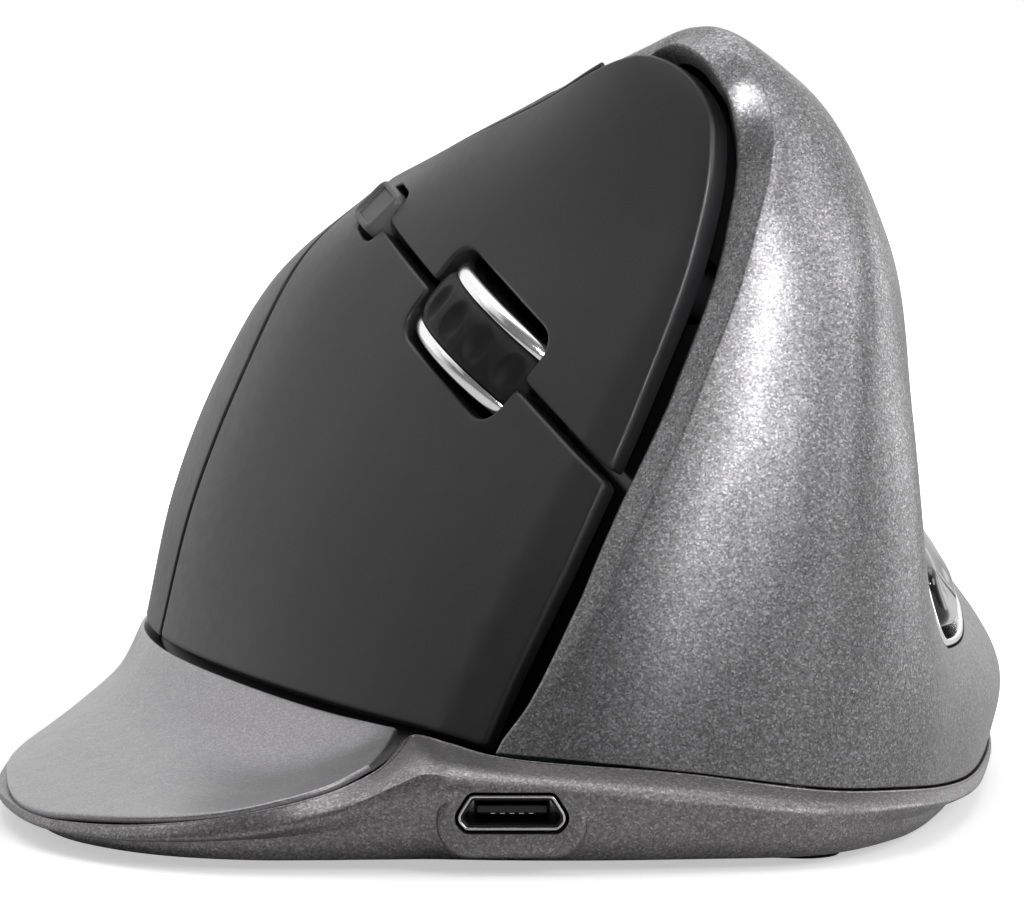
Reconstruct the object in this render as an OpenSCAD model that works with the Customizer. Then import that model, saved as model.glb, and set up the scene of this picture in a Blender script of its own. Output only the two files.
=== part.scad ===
// Vertical ergonomic mouse: tall slanted body held as in a handshake.
// The user's fingers lie on the black panel at -X, the thumb on the +X side, and the front faces -Y.
// Millimetres, +Z up, origin under the middle of the body at desk level.

/* [Body] */
// Width of the whole body across the table
body_w = 76; // [73:0.5:82]
// Length from the socket end to the heel
body_l = 105; // [101:0.5:114]
// Height at the front of the ridge
body_h = 57.4; // [55:0.2:62]
// Wall of the painted side shell
shell_wall = 1.8; // [1.4:0.1:2.2]
// Wall of the pinky rest
rest_wall = 1.4; // [1.1:0.1:1.8]
// Underside of the base above the desk, which is the height of the glide feet
foot_h = 0.6; // [0.5:0.05:0.9]
// Thickness of the base floor
floor_t = 1.2; // [1:0.1:1.6]

/* [Buttons] */
// Thickness of the two main button plates
plate_t = 1.8; // [1.5:0.1:2.2]
// Gap between the two main buttons
split_gap = 0.5; // [0.4:0.05:0.8]
// Depth of the inner frame under the finger surface
frame_depth = 3; // [2.8:0.1:3.6]
// Thickness of the inner frame
frame_t = 1.4; // [1.2:0.1:1.8]
// Radius of the steel pin that the main buttons swing on
pin_r = 1; // [0.8:0.05:1.2]
// Side of the sensitivity button
dpi_side = 4; // [3.6:0.1:4.6]
// Length of the leaf shape that the two thumb buttons share
leaf_l = 38; // [34:0.5:42]
// Height of that leaf shape
leaf_h = 7.8; // [7:0.1:8.6]
// Height of that leaf shape at its two blunt ends
leaf_end = 3.8; // [3:0.1:4.6]

/* [Wheel] */
// Outer radius of the rubber tyre
tyre_r = 10.2; // [9.6:0.1:10.6]
// Width of the rubber tyre
tyre_w = 4; // [3.6:0.1:4.4]
// Depth of the axle under the finger surface
axle_depth = 8; // [7.6:0.1:8.4]
// Number of grip grooves around the tyre
grooves = 20; // [14:1:28]

/* [Hidden] */
// Smoothness of round work
$fn = 40;
// Names of the separate pieces
// Which piece is drawn

// Stretch of the hand-placed points when the body is resized
stretch = [body_w / 76, body_l / 105, body_h / 57.4];
// Step that brings the origin under the middle of the body
middle_y = 0.7;
function put(p) = [p.x * stretch.x, p.y * stretch.y + middle_y, p.z * stretch.z];
function spot(p) = [p.x * stretch.x, p.y * stretch.y];
function put_all(net) = [for (row = net) [for (p = row) put(p)]];

// Finger side, rows from the ridge down to the pinky rest, each from the front to the heel
FINGER = put_all([
  [[16, -36.2, 54.3], [9.4, -29.4, 55.6], [1.6, -20, 51.6], [-5.4, -10, 47.9],
    [-11.4, 2, 43.8], [-14.2, 15, 36.8], [-13.4, 28, 27.6], [-9.4, 39.2, 19.4]],
  [[14, -38.9, 43], [3.2, -29, 42.8], [-6, -19, 42], [-13.4, -9, 40.5],
    [-18.4, 3, 37.8], [-19.6, 16, 32], [-17.2, 29, 24.6], [-11.2, 40.7, 17.2]],
  [[9.6, -41.2, 31.7], [-2, -31, 31.8], [-11.8, -20, 31.5], [-19, -9, 31],
    [-23, 4, 30], [-23.2, 17, 26.5], [-20, 30, 21], [-12.8, 41.9, 14.6]],
  [[4.4, -43.7, 20.5], [-7.2, -33, 20.8], [-17, -21, 21], [-23.6, -9, 21],
    [-26.6, 4, 20.8], [-26, 18, 19], [-22, 31, 16], [-13.8, 42.8, 11.6]],
  [[-1.5, -46, 7.9], [-11.6, -35.6, 9.1], [-20.5, -23, 10.1], [-26.3, -10, 10.7],
    [-28.8, 4, 10.9], [-28, 18, 10.6], [-23.4, 32, 9.6], [-14.6, 43.6, 8.2]]]);

// Painted side, rows from the base seam up to the ridge, each from the front edge round to the heel
THUMB = put_all([
  [[-1.2, -47.5, 7.6], [2.5, -48.4, 7.4], [12, -49, 6.5], [22, -46.5, 5], [27.5, -41, 4.2],
    [31.8, -31, 3.1], [35.5, -14, 2.5], [37, 2, 2.6], [35.5, 20, 3.2], [28, 37, 3.8],
    [12, 49, 4.2], [-4, 51.3, 4.4], [-15.4, 47.2, 4]],
  [[0.3, -46.5, 10.6], [4, -47.5, 10.4], [12.8, -48.1, 10], [22.4, -46, 9], [28.1, -40.8, 8.5],
    [32.4, -30.5, 7.5], [36.4, -14, 7], [38, 2, 7.2], [36.5, 20, 7.6], [29, 36.5, 7.8],
    [12.5, 48, 7.6], [-3.2, 50.6, 7.4], [-14, 44.6, 8.6]],
  [[4.6, -44, 20.5], [8, -44.9, 20.3], [15, -45.4, 20], [23.5, -44, 19.5], [28.4, -39.5, 19],
    [29.8, -30, 17.5], [31, -14, 16], [32.2, 3, 16.2], [31.6, 20, 16.6], [26, 34, 15],
    [12, 44.5, 12], [-2, 47, 10.5], [-13.3, 43.3, 11.8]],
  [[9.8, -41.4, 31.7], [13, -42.2, 31.6], [18, -42.6, 31.5], [24.5, -41.3, 31], [28.1, -36.5, 30.5],
    [27, -28, 29], [24.5, -14, 27.5], [24.5, 2, 26.5], [24, 17, 25.5], [19.5, 30, 22],
    [9, 39.5, 17.5], [-1.8, 43.8, 14], [-12.3, 42.3, 14.7]],
  [[14.2, -39, 43], [17.3, -39.6, 43.2], [20.5, -39.4, 43.2], [25.2, -37.3, 43], [26.8, -32, 42],
    [24, -25, 41], [17.5, -13, 39], [13.5, 1, 36.5], [11.5, 15, 32.5], [9, 27, 27],
    [2.8, 36.5, 21.5], [-4.2, 41.4, 17], [-11.2, 41.2, 16.7]],
  [[15.7, -37, 50.5], [18.3, -36.7, 50.9], [20.2, -35, 52.2], [21.2, -31.5, 52.8], [19.5, -26.6, 52.4],
    [15, -20.4, 50.8], [7, -10.6, 47], [0.5, 1, 42.7], [-3.2, 14, 36.4], [-4.6, 27, 28.2],
    [-5.8, 35.6, 22], [-7.6, 39.4, 18.9], [-10.3, 40.4, 18]],
  [[14.9, -36, 53], [16, -34.6, 55.5], [15, -32.4, 57.2], [13.2, -29.2, 57.3], [10.4, -24.8, 56],
    [6.6, -19.4, 53.6], [-0.4, -9.6, 49.1], [-6.6, 1.5, 44.7], [-9.6, 14.5, 37.5], [-9.8, 27.5, 28.6],
    [-8.2, 35.6, 22.4], [-8.5, 38.6, 20], [-9.6, 39.8, 19]],
  [[13.8, -35.2, 54.4], [12.2, -32.6, 56], [10, -29.7, 56.1], [7.2, -26.3, 55], [4.4, -22.9, 53.5],
    [1.4, -18.7, 51.7], [-4.6, -9.1, 48.3], [-10.4, 2.4, 44.3], [-13.2, 15.2, 37.3], [-12.4, 28.1, 28.1],
    [-10.3, 36, 22.3], [-9.3, 38.4, 20.5], [-9, 39.2, 19.9]]]);

// Pinky rest, rows from the finger panel out to the rim, each from the front to the heel
REST = put_all([
  [[-8.1, -40.6, 8.4], [-9.7, -38.7, 8.5], [-11.9, -35.9, 8.6], [-20.8, -23.2, 9.6], [-26.6, -10, 10.2],
    [-29.1, 4, 10.4], [-28.3, 18, 10.1], [-23.7, 32.2, 9.1], [-15.2, 43.7, 7.8]],
  [[-8.5, -42.8, 8], [-10.7, -41.8, 7.2], [-13.2, -40.6, 6.4], [-23.2, -28.6, 6.4], [-29.2, -12.6, 6.7],
    [-31, 3.2, 6.9], [-29.5, 18, 6.9], [-24.4, 32.8, 6.8], [-15.5, 44.7, 6.6]],
  [[-9, -45.4, 7.5], [-11.8, -45.9, 6.3], [-15, -46.5, 5.2], [-26.8, -36, 4.3], [-33.2, -17.2, 4.5],
    [-33.6, 1.8, 4.7], [-30.8, 18, 4.9], [-25.2, 33.8, 5.2], [-15.8, 45.8, 5.5]],
  [[-9.8, -48.2, 6.9], [-12.6, -50.6, 5.8], [-17.1, -51.8, 4.7], [-31.2, -43.7, 2.8], [-37.4, -22, 2.6],
    [-36.3, 0, 2.7], [-32.2, 18, 3], [-25.7, 35, 3.6], [-16.2, 47, 4.2]]]);

// Top edge of the base all the way round, from the front, dipping in under the corner of the panel
SEAM = [for (p = [
  [-4.4, -44.3, 7.9], [-1.9, -47.4, 7.6], [12, -49.3, 6.5], [22, -47, 5], [27.7, -41.4, 4.2],
  [32, -31.3, 3.1], [35.8, -14, 2.5], [37.3, 2, 2.6], [35.8, 20, 3.2], [28.2, 37.2, 3.8],
  [12, 49.4, 4.2], [-3.6, 51.9, 4.2], [-15.8, 47.8, 3.8], [-26, 35.2, 3.2], [-32.5, 18, 2.6],
  [-36.6, 0, 2.3], [-38, -15, 2.2], [-36.5, -32, 2.2], [-31.4, -43.9, 2.4], [-24, -50.2, 3.2],
  [-17.1, -52.1, 4.4], [-12.3, -51, 5.5], [-9.2, -48.2, 6.6], [-7.7, -44.4, 7.5], [-6.9, -41, 8]]) put(p)];
// Fullest line of the base between its two edges
BELLY = [for (p = [[-4.4, -53, 5.9], [-1.5, -53.1, 6], [12, -52, 5], [22, -49.4, 3.8], [28.6, -42.4, 3.1],
  [32.6, -31.5, 2.2], [35.9, -14, 1.9], [37.3, 2, 1.9], [35.8, 20, 2.2], [28.2, 37, 2.5],
  [12.2, 49, 2.6], [-3.7, 51.5, 2.6], [-16, 47.3, 2.4], [-26, 35, 2.1], [-32.3, 18, 1.85],
  [-36.5, 0, 1.7], [-38, -15, 1.6], [-36.5, -32, 1.6], [-31.5, -44.2, 1.7], [-24.4, -50.6, 2.1],
  [-17.4, -52.6, 2.8], [-12.8, -52.8, 3.9], [-9.8, -52.9, 4.8],
  [-7.6, -52.9, 5.4], [-6, -53, 5.7]]) put(p)];
// Lower edge of the base, where its side turns under
KEEL = [for (p = [[-4.4, -52.6, 0], [-1.5, -52.8, 0], [12, -52, 0], [22, -49.4, 0], [27.6, -42.2, 0],
  [31, -31.4, 0], [33.6, -14, 0], [34.8, 2, 0], [33.4, 20, 0], [26.4, 35.6, 0],
  [11.2, 47.2, 0], [-3.8, 49.6, 0], [-15.2, 45.6, 0], [-24.6, 34, 0], [-30.8, 18, 0],
  [-34.8, 0, 0], [-36.2, -15, 0], [-35, -31.6, 0], [-30.4, -43.3, 0], [-24, -49.3, 0],
  [-17.6, -51.6, 0], [-12.8, -52, 0], [-9.8, -52.2, 0], [-7.6, -52.4, 0], [-6, -52.5, 0]]) put(p)];

// Smooth curves through points: the slope at a point is the mean of its two chords, nearer one first
function slope(a, b, c) = let (d0 = norm(b - a), d1 = norm(c - b))
  ((c - b) / d1 * d0 + (b - a) / d0 * d1) / (d0 + d1);
function point(p, i, loop) = let (n = len(p))
  loop ? p[(i + n) % n] : i < 0 ? 2 * p[0] - p[1] : i >= n ? 2 * p[n - 1] - p[n - 2] : p[i];
function curve_at(p, t, loop = false) = let (
    i = loop ? floor(t) : max(0, min(floor(t), len(p) - 2)), f = t - i,
    a = point(p, i - 1, loop), b = point(p, i, loop), c = point(p, i + 1, loop), e = point(p, i + 2, loop),
    d = norm(c - b), m0 = slope(a, b, c) * d, m1 = slope(b, c, e) * d)
  b * (2 * f ^ 3 - 3 * f ^ 2 + 1) + m0 * (f ^ 3 - 2 * f ^ 2 + f)
    + c * (3 * f ^ 2 - 2 * f ^ 3) + m1 * (f ^ 3 - f ^ 2);
function curve(p, m, loop = false) = let (n = loop ? len(p) * m : (len(p) - 1) * m + 1)
  [for (i = [0:n - 1]) curve_at(p, i / m, loop)];
function flip(g) = [for (i = [0:len(g[0]) - 1]) [for (row = g) row[i]]];

// Surfaces through a net of points
function surface_at(net, u, v) = curve_at([for (row = net) curve_at(row, u)], v);
function patch(net, u0, u1, nu, v0, v1, nv) = flip([for (i = [0:nu]) let (
    col = [for (row = net) curve_at(row, u0 + (u1 - u0) * i / nu)])
  [for (j = [0:nv]) curve_at(col, v0 + (v1 - v0) * j / nv)]]);
function unit(v) = v / norm(v);
function facing(net, u, v) = unit(cross(
  surface_at(net, u + 0.02, v) - surface_at(net, u - 0.02, v),
  surface_at(net, u, v + 0.02) - surface_at(net, u, v - 0.02)));
// Each is read at least one step in from the edge, because two edges of a net can meet in one smooth line
function facings(g) = let (nj = len(g) - 1, ni = len(g[0]) - 1)
  [for (b = [0:nj]) let (j = nj < 2 ? b : max(1, min(b, nj - 1)))
    [for (a = [0:ni]) let (i = max(1, min(a, ni - 1))) unit(cross(
      g[j][i + 1] - g[j][i - 1], g[min(j + 1, nj)][i] - g[max(j - 1, 0)][i]))]];

// Solid between two depths under a surface; the depths may change from the first row to the last
module skin(g, d0, d1, e0 = undef, e1 = undef) {
  n = facings(g);
  nj = len(g);
  ni = len(g[0]);
  f0 = is_undef(e0) ? d0 : e0;
  f1 = is_undef(e1) ? d1 : e1;
  outer = [for (j = [0:nj - 1]) for (i = [0:ni - 1]) g[j][i] - n[j][i] * (d0 + (f0 - d0) * j / (nj - 1))];
  inner = [for (j = [0:nj - 1]) for (i = [0:ni - 1]) g[j][i] - n[j][i] * (d1 + (f1 - d1) * j / (nj - 1))];
  m = ni * nj;
  out_f = [for (j = [0:nj - 2]) for (i = [0:ni - 2]) let (a = j * ni + i)
    each [[a, a + ni + 1, a + 1], [a, a + ni, a + ni + 1]]];
  in_f = [for (t = out_f) [t[2] + m, t[1] + m, t[0] + m]];
  edge = concat([for (i = [0:ni - 2]) [i, i + 1]],
    [for (j = [0:nj - 2]) [j * ni + ni - 1, (j + 1) * ni + ni - 1]],
    [for (i = [ni - 2:-1:0]) [(nj - 1) * ni + i + 1, (nj - 1) * ni + i]],
    [for (j = [nj - 2:-1:0]) [(j + 1) * ni, j * ni]]);
  rim_f = [for (s = edge) each [[s[0], s[1], s[1] + m], [s[0], s[1] + m, s[0] + m]]];
  polyhedron(concat(outer, inner), concat(out_f, in_f, rim_f), convexity = 8);
}

// Solid through closed rings, from the ring under it, up the outside and back down the inside
module tub(rings) {
  n = len(rings[0]);
  k = len(rings);
  pts = [for (r = rings) each r];
  side = [for (j = [0:k - 2]) for (i = [0:n - 1]) let (a = j * n + i, b = j * n + (i + 1) % n)
    each [[a, b + n, b], [a, a + n, b + n]]];
  polyhedron(pts, concat(side, [[for (i = [0:n - 1]) i]], [[for (i = [n - 1:-1:0]) (k - 1) * n + i]]),
    convexity = 8);
}

// Rings moved inward in plan and set to a height
function inset(r, d) = let (n = len(r)) [for (i = [0:n - 1]) let (
    t = r[(i + 1) % n] - r[(i + n - 1) % n], q = unit([-t.y, t.x])) r[i] + [q.x * d, q.y * d, 0]];
function level(r, z) = [for (p = r) [p.x, p.y, z]];
function lift(r, z) = [for (p = r) [p.x, p.y, p.z + z]];

// Local frames: an origin and three directions, with the last one pointing out of the skin
function matrix(f) = [[f[1].x, f[2].x, f[3].x, f[0].x], [f[1].y, f[2].y, f[3].y, f[0].y],
  [f[1].z, f[2].z, f[3].z, f[0].z], [0, 0, 0, 1]];
function frame(o, n, a) = let (x = unit(a - n * (a * n))) [o, x, cross(n, x), n];
function local(f, p) = [(p - f[0]) * f[1], (p - f[0]) * f[2], (p - f[0]) * f[3]];
function seek(net, f, a, b, u, v, n) = let (q = local(f, surface_at(net, u, v)))
  n == 0 ? q.z : let (
    ju = (local(f, surface_at(net, u + 0.02, v)) - q) / 0.02,
    jv = (local(f, surface_at(net, u, v + 0.02)) - q) / 0.02,
    det = ju.x * jv.y - jv.x * ju.y, ea = a - q.x, eb = b - q.y)
  seek(net, f, a, b, u + (ea * jv.y - eb * jv.x) / det, v + (ju.x * eb - ju.y * ea) / det, n - 1);

// Finger panel frame: origin where the wheel stands, first direction to the front, second up
panel = frame(surface_at(FINGER, 1.25, 1.67), facing(FINGER, 1.25, 1.67),
  surface_at(FINGER, 0, 2.5) - surface_at(FINGER, 2.83, 0.67));
// Frame of the sensitivity button, behind the wheel on the split line
dpi = frame(surface_at(FINGER, 2.83, 0.67), facing(FINGER, 2.83, 0.67), panel[1]);
// Thumb button frame: first direction to the heel, second up
thumb_at = [6.15, 2.05];
thumb = frame(surface_at(THUMB, thumb_at.x, thumb_at.y), facing(THUMB, thumb_at.x, thumb_at.y), [0, 1, 0]);
// Height of the skin in the panel and thumb frames
function finger_c(a, b) = seek(FINGER, panel, a, b, 1.25, 1.67, 8);
function thumb_c(a, b) = seek(THUMB, thumb, a, b, thumb_at.x, thumb_at.y, 8);
module in_panel() multmatrix(matrix(panel)) children();
module in_dpi() multmatrix(matrix(dpi)) children();
module in_thumb() multmatrix(matrix(thumb)) children();

// Small helpers
module block(x0, x1, y0, y1, z0, z1) translate([x0, y0, z0]) cube([x1 - x0, y1 - y0, z1 - z0]);
module post(x, y, z0, z1, r) translate([x, y, z0]) cylinder(h = z1 - z0, r = r);
module rod_y(x, z, y0, y1, r) translate([x, y0, z]) rotate([-90, 0, 0]) cylinder(h = y1 - y0, r = r);
module rod_x(y, z, x0, x1, r) translate([x0, y, z]) rotate([0, 90, 0]) cylinder(h = x1 - x0, r = r);
module soft_rect(x, y, r) offset(r = r) square([x - 2 * r, y - 2 * r], center = true);
module prism(z0, z1) translate([0, 0, z0]) linear_extrude(z1 - z0) children();
module rod_between(p, q, r) {
  d = q - p;
  translate(p) rotate([0, acos(d.z / norm(d)), atan2(d.y, d.x)]) cylinder(h = norm(d), r = r);
}

// Heights of the base
floor_z = foot_h + floor_t;
board_z = floor_z + 1.2;
usb_z = board_z + 1.3;
usb_y = -53 * stretch.y + middle_y;
// Places of the screws through the base, for the frame legs and for the shell posts
leg_at = [for (p = [[-8.4, -31], [-15.6, -19], [-22, 13]]) spot(p)];
shell_post_at = [for (p = [[27.5, 20], [17, 37]]) spot(p)];
base_screw_at = concat(leg_at, shell_post_at);
// Places on the main board, and of the battery behind it
board_screw_at = [for (p = [[6.6, 6], [21, 6.4], [19, -40]]) spot(p)];
sensor_at = spot([12, -14]);
power_at = spot([16, -30]);
plug_at = spot([10.8, 6]);
battery_at = spot([-2, 28]);
battery_w = 28;
battery_l = 25;
battery_t = 5.2;

// Panel stations
hinge_a = -13;
hinge_c = -11;
// Half the thickness of a hinge lug
lug_half = 1.7;
axle_c = -axle_depth;
switch_board_c = -12.2;
nub_a = 11.5;
primary_b = 13;
secondary_b = -16;
middle_a = 14.4;
standoff_at = [[13, 8.1], [0, 13.8], [-4.5, -17], [17, -10]];
primary_lugs = [[0.8, 3.3], [6.6, 8.6]];
secondary_lugs = [[-26, -23], [-9.6, -7.4]];
frame_lugs = [[-29, -26.5], [-3.9, -1], [8.8, 10.3]];
yoke_arm_b = 5.4;
yoke_arm_t = 1.4;

// Front and top edge of the buttons as seen square on, with the rounded top corner
front_edge = curve([[29.5, -26], [25.6, -18.6], [21, -5.6], [16.3, 6], [11.5, 16.6], [8.4, 21.4],
  [6, 23.5], [3.2, 24.4], [0.2, 24.1], [-3, 22.3]], 4);
// Seam at the rear of the buttons
rear_seam = curve([[-11, -44], [-15.2, -36], [-19.8, -26], [-24, -15], [-27, -6], [-28.3, -0.3]], 4);

module wheel_hole_2d() soft_rect(14.4, 8.2, 1.8);
module primary_2d() difference() {
  polygon(concat(front_edge, [[-10, 30], [-40, 30], [-40, 12], [-26.4, 12], [-26.4, split_gap / 2],
    [40, split_gap / 2], [40, -26]]));
  translate([0, -50]) square([200, 100 + split_gap], center = true);
  wheel_hole_2d();
}
module secondary_2d() difference() {
  polygon(concat(front_edge, [[-10, 30], [-40, 30], [-40, -0.3]],
    [for (i = [len(rear_seam) - 1:-1:0]) rear_seam[i] + [0.2, 0]], [[-11, -60], [29.5, -60]]));
  translate([0, 50 - split_gap / 2]) square([200, 100], center = true);
  wheel_hole_2d();
}
module grip_2d() polygon(concat(
  [for (p = rear_seam) p - [0.2, 0]],
  [[-27.8, split_gap / 2], [-28.6, 30], [-90, 30], [-90, -70], [-11.2, -70]]));
module dpi_hole(z0, z1, side) in_dpi() prism(z0, z1) soft_rect(side, side, 0.9);

// Leaf shape of the thumb buttons
leaf_rise = (leaf_h - leaf_end) / 2;
leaf_r = ((leaf_l / 2) ^ 2 + leaf_rise ^ 2) / (2 * leaf_rise);
leaf_corner = 1.4;
module leaf_2d(grow = 0) offset(r = grow + leaf_corner) offset(delta = -leaf_corner) intersection() {
  translate([0, leaf_h / 2 - leaf_r]) circle(leaf_r, $fn = 360);
  translate([0, leaf_r - leaf_h / 2]) circle(leaf_r, $fn = 360);
  square([leaf_l, leaf_h * 2], center = true);
}
// Screws of the thumb board, beyond the ends of the leaf
thumb_screw_a = leaf_l / 2 + 3.7;
thumb_screw_b = 3;
thumb_pin_b = 5.6;
thumb_pin_c = -6.2;
thumb_board_c = -10;
thumb_nub_a = 8.5;
thumb_nub_b = -0.4;
// Lower edge of the thumb board, kept clear of the floor of the base
thumb_low = max(-3.5, (floor_z + 0.8 - thumb[0].z - (thumb_board_c - 1) * thumb[3].z) / thumb[2].z);

// Base

module base_tray() color([0.3, 0.3, 0.31]) {
  top = lift(curve(SEAM, 4, true), -0.3);
  keel = level(curve(KEEL, 4, true), foot_h + 0.5);
  under = level(inset(keel, 0.9), foot_h);
  belly = lift(curve(BELLY, 4, true), foot_h - 0.6);
  rim_in = [for (p = inset(top, 1.7)) [p.x, p.y, max(floor_z + 0.05, p.z - 1.3)]];
  well = level(inset(keel, 2.6), floor_z);
  difference() {
    union() {
      tub([under, keel, belly, top, rim_in, well]);
      translate([0, usb_y - 0.4, usb_z - 0.8]) rotate([-90, 0, 0]) linear_extrude(2.4)
        soft_rect(10.4, 5.4, 0.8);
      for (p = board_screw_at) post(p.x, p.y, floor_z - 0.4, board_z, 2.2);
    }
    translate([0, usb_y - 5, usb_z]) rotate([-90, 0, 0]) linear_extrude(14) soft_rect(8, 3, 0.7);
    block(-4.2, 4.2, usb_y + 1.6, usb_y + 9, floor_z + 0.2, usb_z + 1.4);
    for (p = base_screw_at) {
      post(p.x, p.y, -1, floor_z + 1, 1.15);
      post(p.x, p.y, -1, foot_h + 0.7, 2.1);
    }
    for (p = board_screw_at) post(p.x, p.y, foot_h + 0.5, board_z + 1, 0.85);
    translate([sensor_at.x, sensor_at.y, -1]) linear_extrude(floor_z + 2) soft_rect(8, 6, 1.5);
    translate([power_at.x, power_at.y, -1]) linear_extrude(floor_z + 2) soft_rect(5.4, 2.4, 0.6);
  }
}

module glide_feet() color([0.12, 0.12, 0.13]) {
  for (p = [[-20, -34, 38], [15, -41.6, -12], [-15, 31, -40], [17, 29, 35]])
    translate([p.x * stretch.x, p.y * stretch.y, 0]) rotate([0, 0, p.z])
      linear_extrude(foot_h) soft_rect(16, 5.5, 2.6);
}

module base_screws() color([0.55, 0.55, 0.56]) for (p = base_screw_at) difference() {
  union() {
    post(p.x, p.y, foot_h + 0.08, foot_h + 0.68, 1.9);
    post(p.x, p.y, foot_h + 0.5, foot_h + 6.5, 0.9);
  }
  for (a = [0, 90]) translate([p.x, p.y, foot_h + 0.2]) rotate([0, 0, a])
    cube([2.2, 0.5, 0.6], center = true);
}

// Outer skins

module side_shell() color([0.5, 0.49, 0.5]) difference() {
  union() {
    skin(patch(THUMB, 0, 12, 48, 0, 7, 24), 0, shell_wall);
    for (p = shell_post_at) post(p.x, p.y, floor_z + 0.08, shell_low(p) - 0.5, 2.6);
    in_thumb() for (a = [-thumb_screw_a, thumb_screw_a])
      post(a, thumb_screw_b, thumb_board_c, thumb_c(a, thumb_screw_b) - 1.3, 1.8);
  }
  in_thumb() prism(-9, 5) leaf_2d(1.6);
  for (p = shell_post_at) post(p.x, p.y, floor_z - 1, floor_z + 6, 0.95);
  in_thumb() for (a = [-thumb_screw_a, thumb_screw_a])
    post(a, thumb_screw_b, thumb_board_c - 1, thumb_board_c + 4, 0.8);
}
// Lowest height of the painted side over a post
upright = [[0, 0, 0], [1, 0, 0], [0, 1, 0], [0, 0, 1]];
function shell_low(p) = min([for (q = [[2.6, 0], [0, 2.6], [0, -2.6], [1.8, 1.8], [1.8, -1.8]])
  seek(THUMB, upright, p.x + q.x, p.y + q.y, p.y < 30 * stretch.y ? 8.1 : 9.6, 1.8, 12)]);

module pinky_rest() color([0.66, 0.66, 0.67])
  skin(patch(REST, 0, 8, 32, 0, 3, 9), 0, rest_wall, 0, 0.45);

module grip_panel() color([0.16, 0.15, 0.16]) intersection() {
  skin(patch(FINGER, 2, 6.86, 20, 0.13, 4, 16), 0, frame_depth - 0.3);
  in_panel() prism(-80, 12) grip_2d();
}

// Inner frame behind the finger panel

module inner_frame() color([0.06, 0.06, 0.07]) difference() {
  union() {
    intersection() {
      skin(patch(FINGER, 0.03, 6.6, 22, 0.16, 3.9, 12), frame_depth, frame_depth + frame_t);
      in_panel() prism(-80, 12) offset(r = 0.9) polygon(concat(front_edge,
        [[-10, 30], [-90, 30], [-90, -70], [29.5, -70]]));
    }
    in_panel() {
      for (p = standoff_at) post(p.x, p.y, switch_board_c, finger_c(p.x, p.y) - frame_depth - 0.7, 1.8);
      for (s = frame_lugs) hinge_lug(s, frame_depth + 0.7);
    }
    in_dpi() for (b = [-3.2, -0.4]) post(-5.6, b, -5.6, -frame_depth - 0.7, 0.9);
    difference() {
      for (p = leg_at) post(p.x, p.y, floor_z, leg_top(p), 2.6);
      skin(patch(FINGER, 0, 7, 14, 0, 4, 8), -3, frame_depth + 0.3);
    }
  }
  in_panel() {
    prism(-7, 3) soft_rect(21.2, 8.8, 1.8);
    for (s = concat(primary_lugs, secondary_lugs))
      block(-15.6, -10.4, s[0] - 0.4, s[1] + 0.4, -10, 3);
    for (b = [primary_b, secondary_b]) post(nub_a, b, -8, 3, 2.6);
    rod_y(hinge_a, hinge_c, -40, 30, pin_r + 0.02);
    for (p = standoff_at) post(p.x, p.y, switch_board_c - 1, switch_board_c + 4.5, 0.8);
  }
  dpi_hole(-5, 3, 6.2);
  for (p = leg_at) post(p.x, p.y, floor_z - 1, floor_z + 6, 0.95);
}
// Middle of the frame's wall, and where a leg standing under it runs into that wall
frame_mid_depth = frame_depth + frame_t / 2;
FRAME_MID = [for (j = [0:4]) [for (i = [0:7]) FINGER[j][i] - facing(FINGER, i, j) * frame_mid_depth]];
function leg_start(p) = p.y < -25 * stretch.y ? 1.2 : p.y < 0 ? 2 : 4.6;
function leg_top(p) = seek(FRAME_MID, upright, p.x, p.y, leg_start(p), 3.2, 12) + 1;
module hinge_lug(s, depth) {
  b = (s[0] + s[1]) / 2;
  block(hinge_a - lug_half, hinge_a + lug_half, s[0], s[1], hinge_c, finger_c(hinge_a, b) - depth);
  rod_y(hinge_a, hinge_c, s[0], s[1], lug_half + pin_r - 0.9);
}

module hinge_pin() color([0.7, 0.7, 0.72]) in_panel() rod_y(hinge_a, hinge_c, -29.2, 10.5, pin_r);

// Main buttons

module button_plate() intersection() {
  skin(patch(FINGER, 0, 4.4, 22, 0.11, 4, 16), 0, plate_t);
  in_panel() prism(-16, 8) children();
}
module wheel_relief() in_panel() translate([0, 0, -3.2])
  linear_extrude(3.2, scale = [0.72, 1]) soft_rect(20, 8.2, 1.8);
module primary_button() color([0.2, 0.19, 0.2]) difference() {
  union() {
    button_plate() primary_2d();
    in_panel() {
      for (s = primary_lugs) hinge_lug(s, plate_t / 2);
      post(nub_a, primary_b, -5.05, finger_c(nub_a, primary_b) - plate_t / 2, 1.6);
    }
  }
  dpi_hole(-4, 4, dpi_side + 0.8);
  wheel_relief();
  in_panel() rod_y(hinge_a, hinge_c, -40, 30, pin_r + 0.08);
}
module secondary_button() color([0.2, 0.19, 0.2]) difference() {
  union() {
    button_plate() secondary_2d();
    in_panel() {
      for (s = secondary_lugs) hinge_lug(s, plate_t / 2);
      post(nub_a, secondary_b, -5.05, finger_c(nub_a, secondary_b) - plate_t / 2, 1.6);
    }
  }
  dpi_hole(-4, 4, dpi_side + 0.8);
  wheel_relief();
  in_panel() rod_y(hinge_a, hinge_c, -40, 30, pin_r + 0.08);
}

// Switches behind the finger panel

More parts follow.
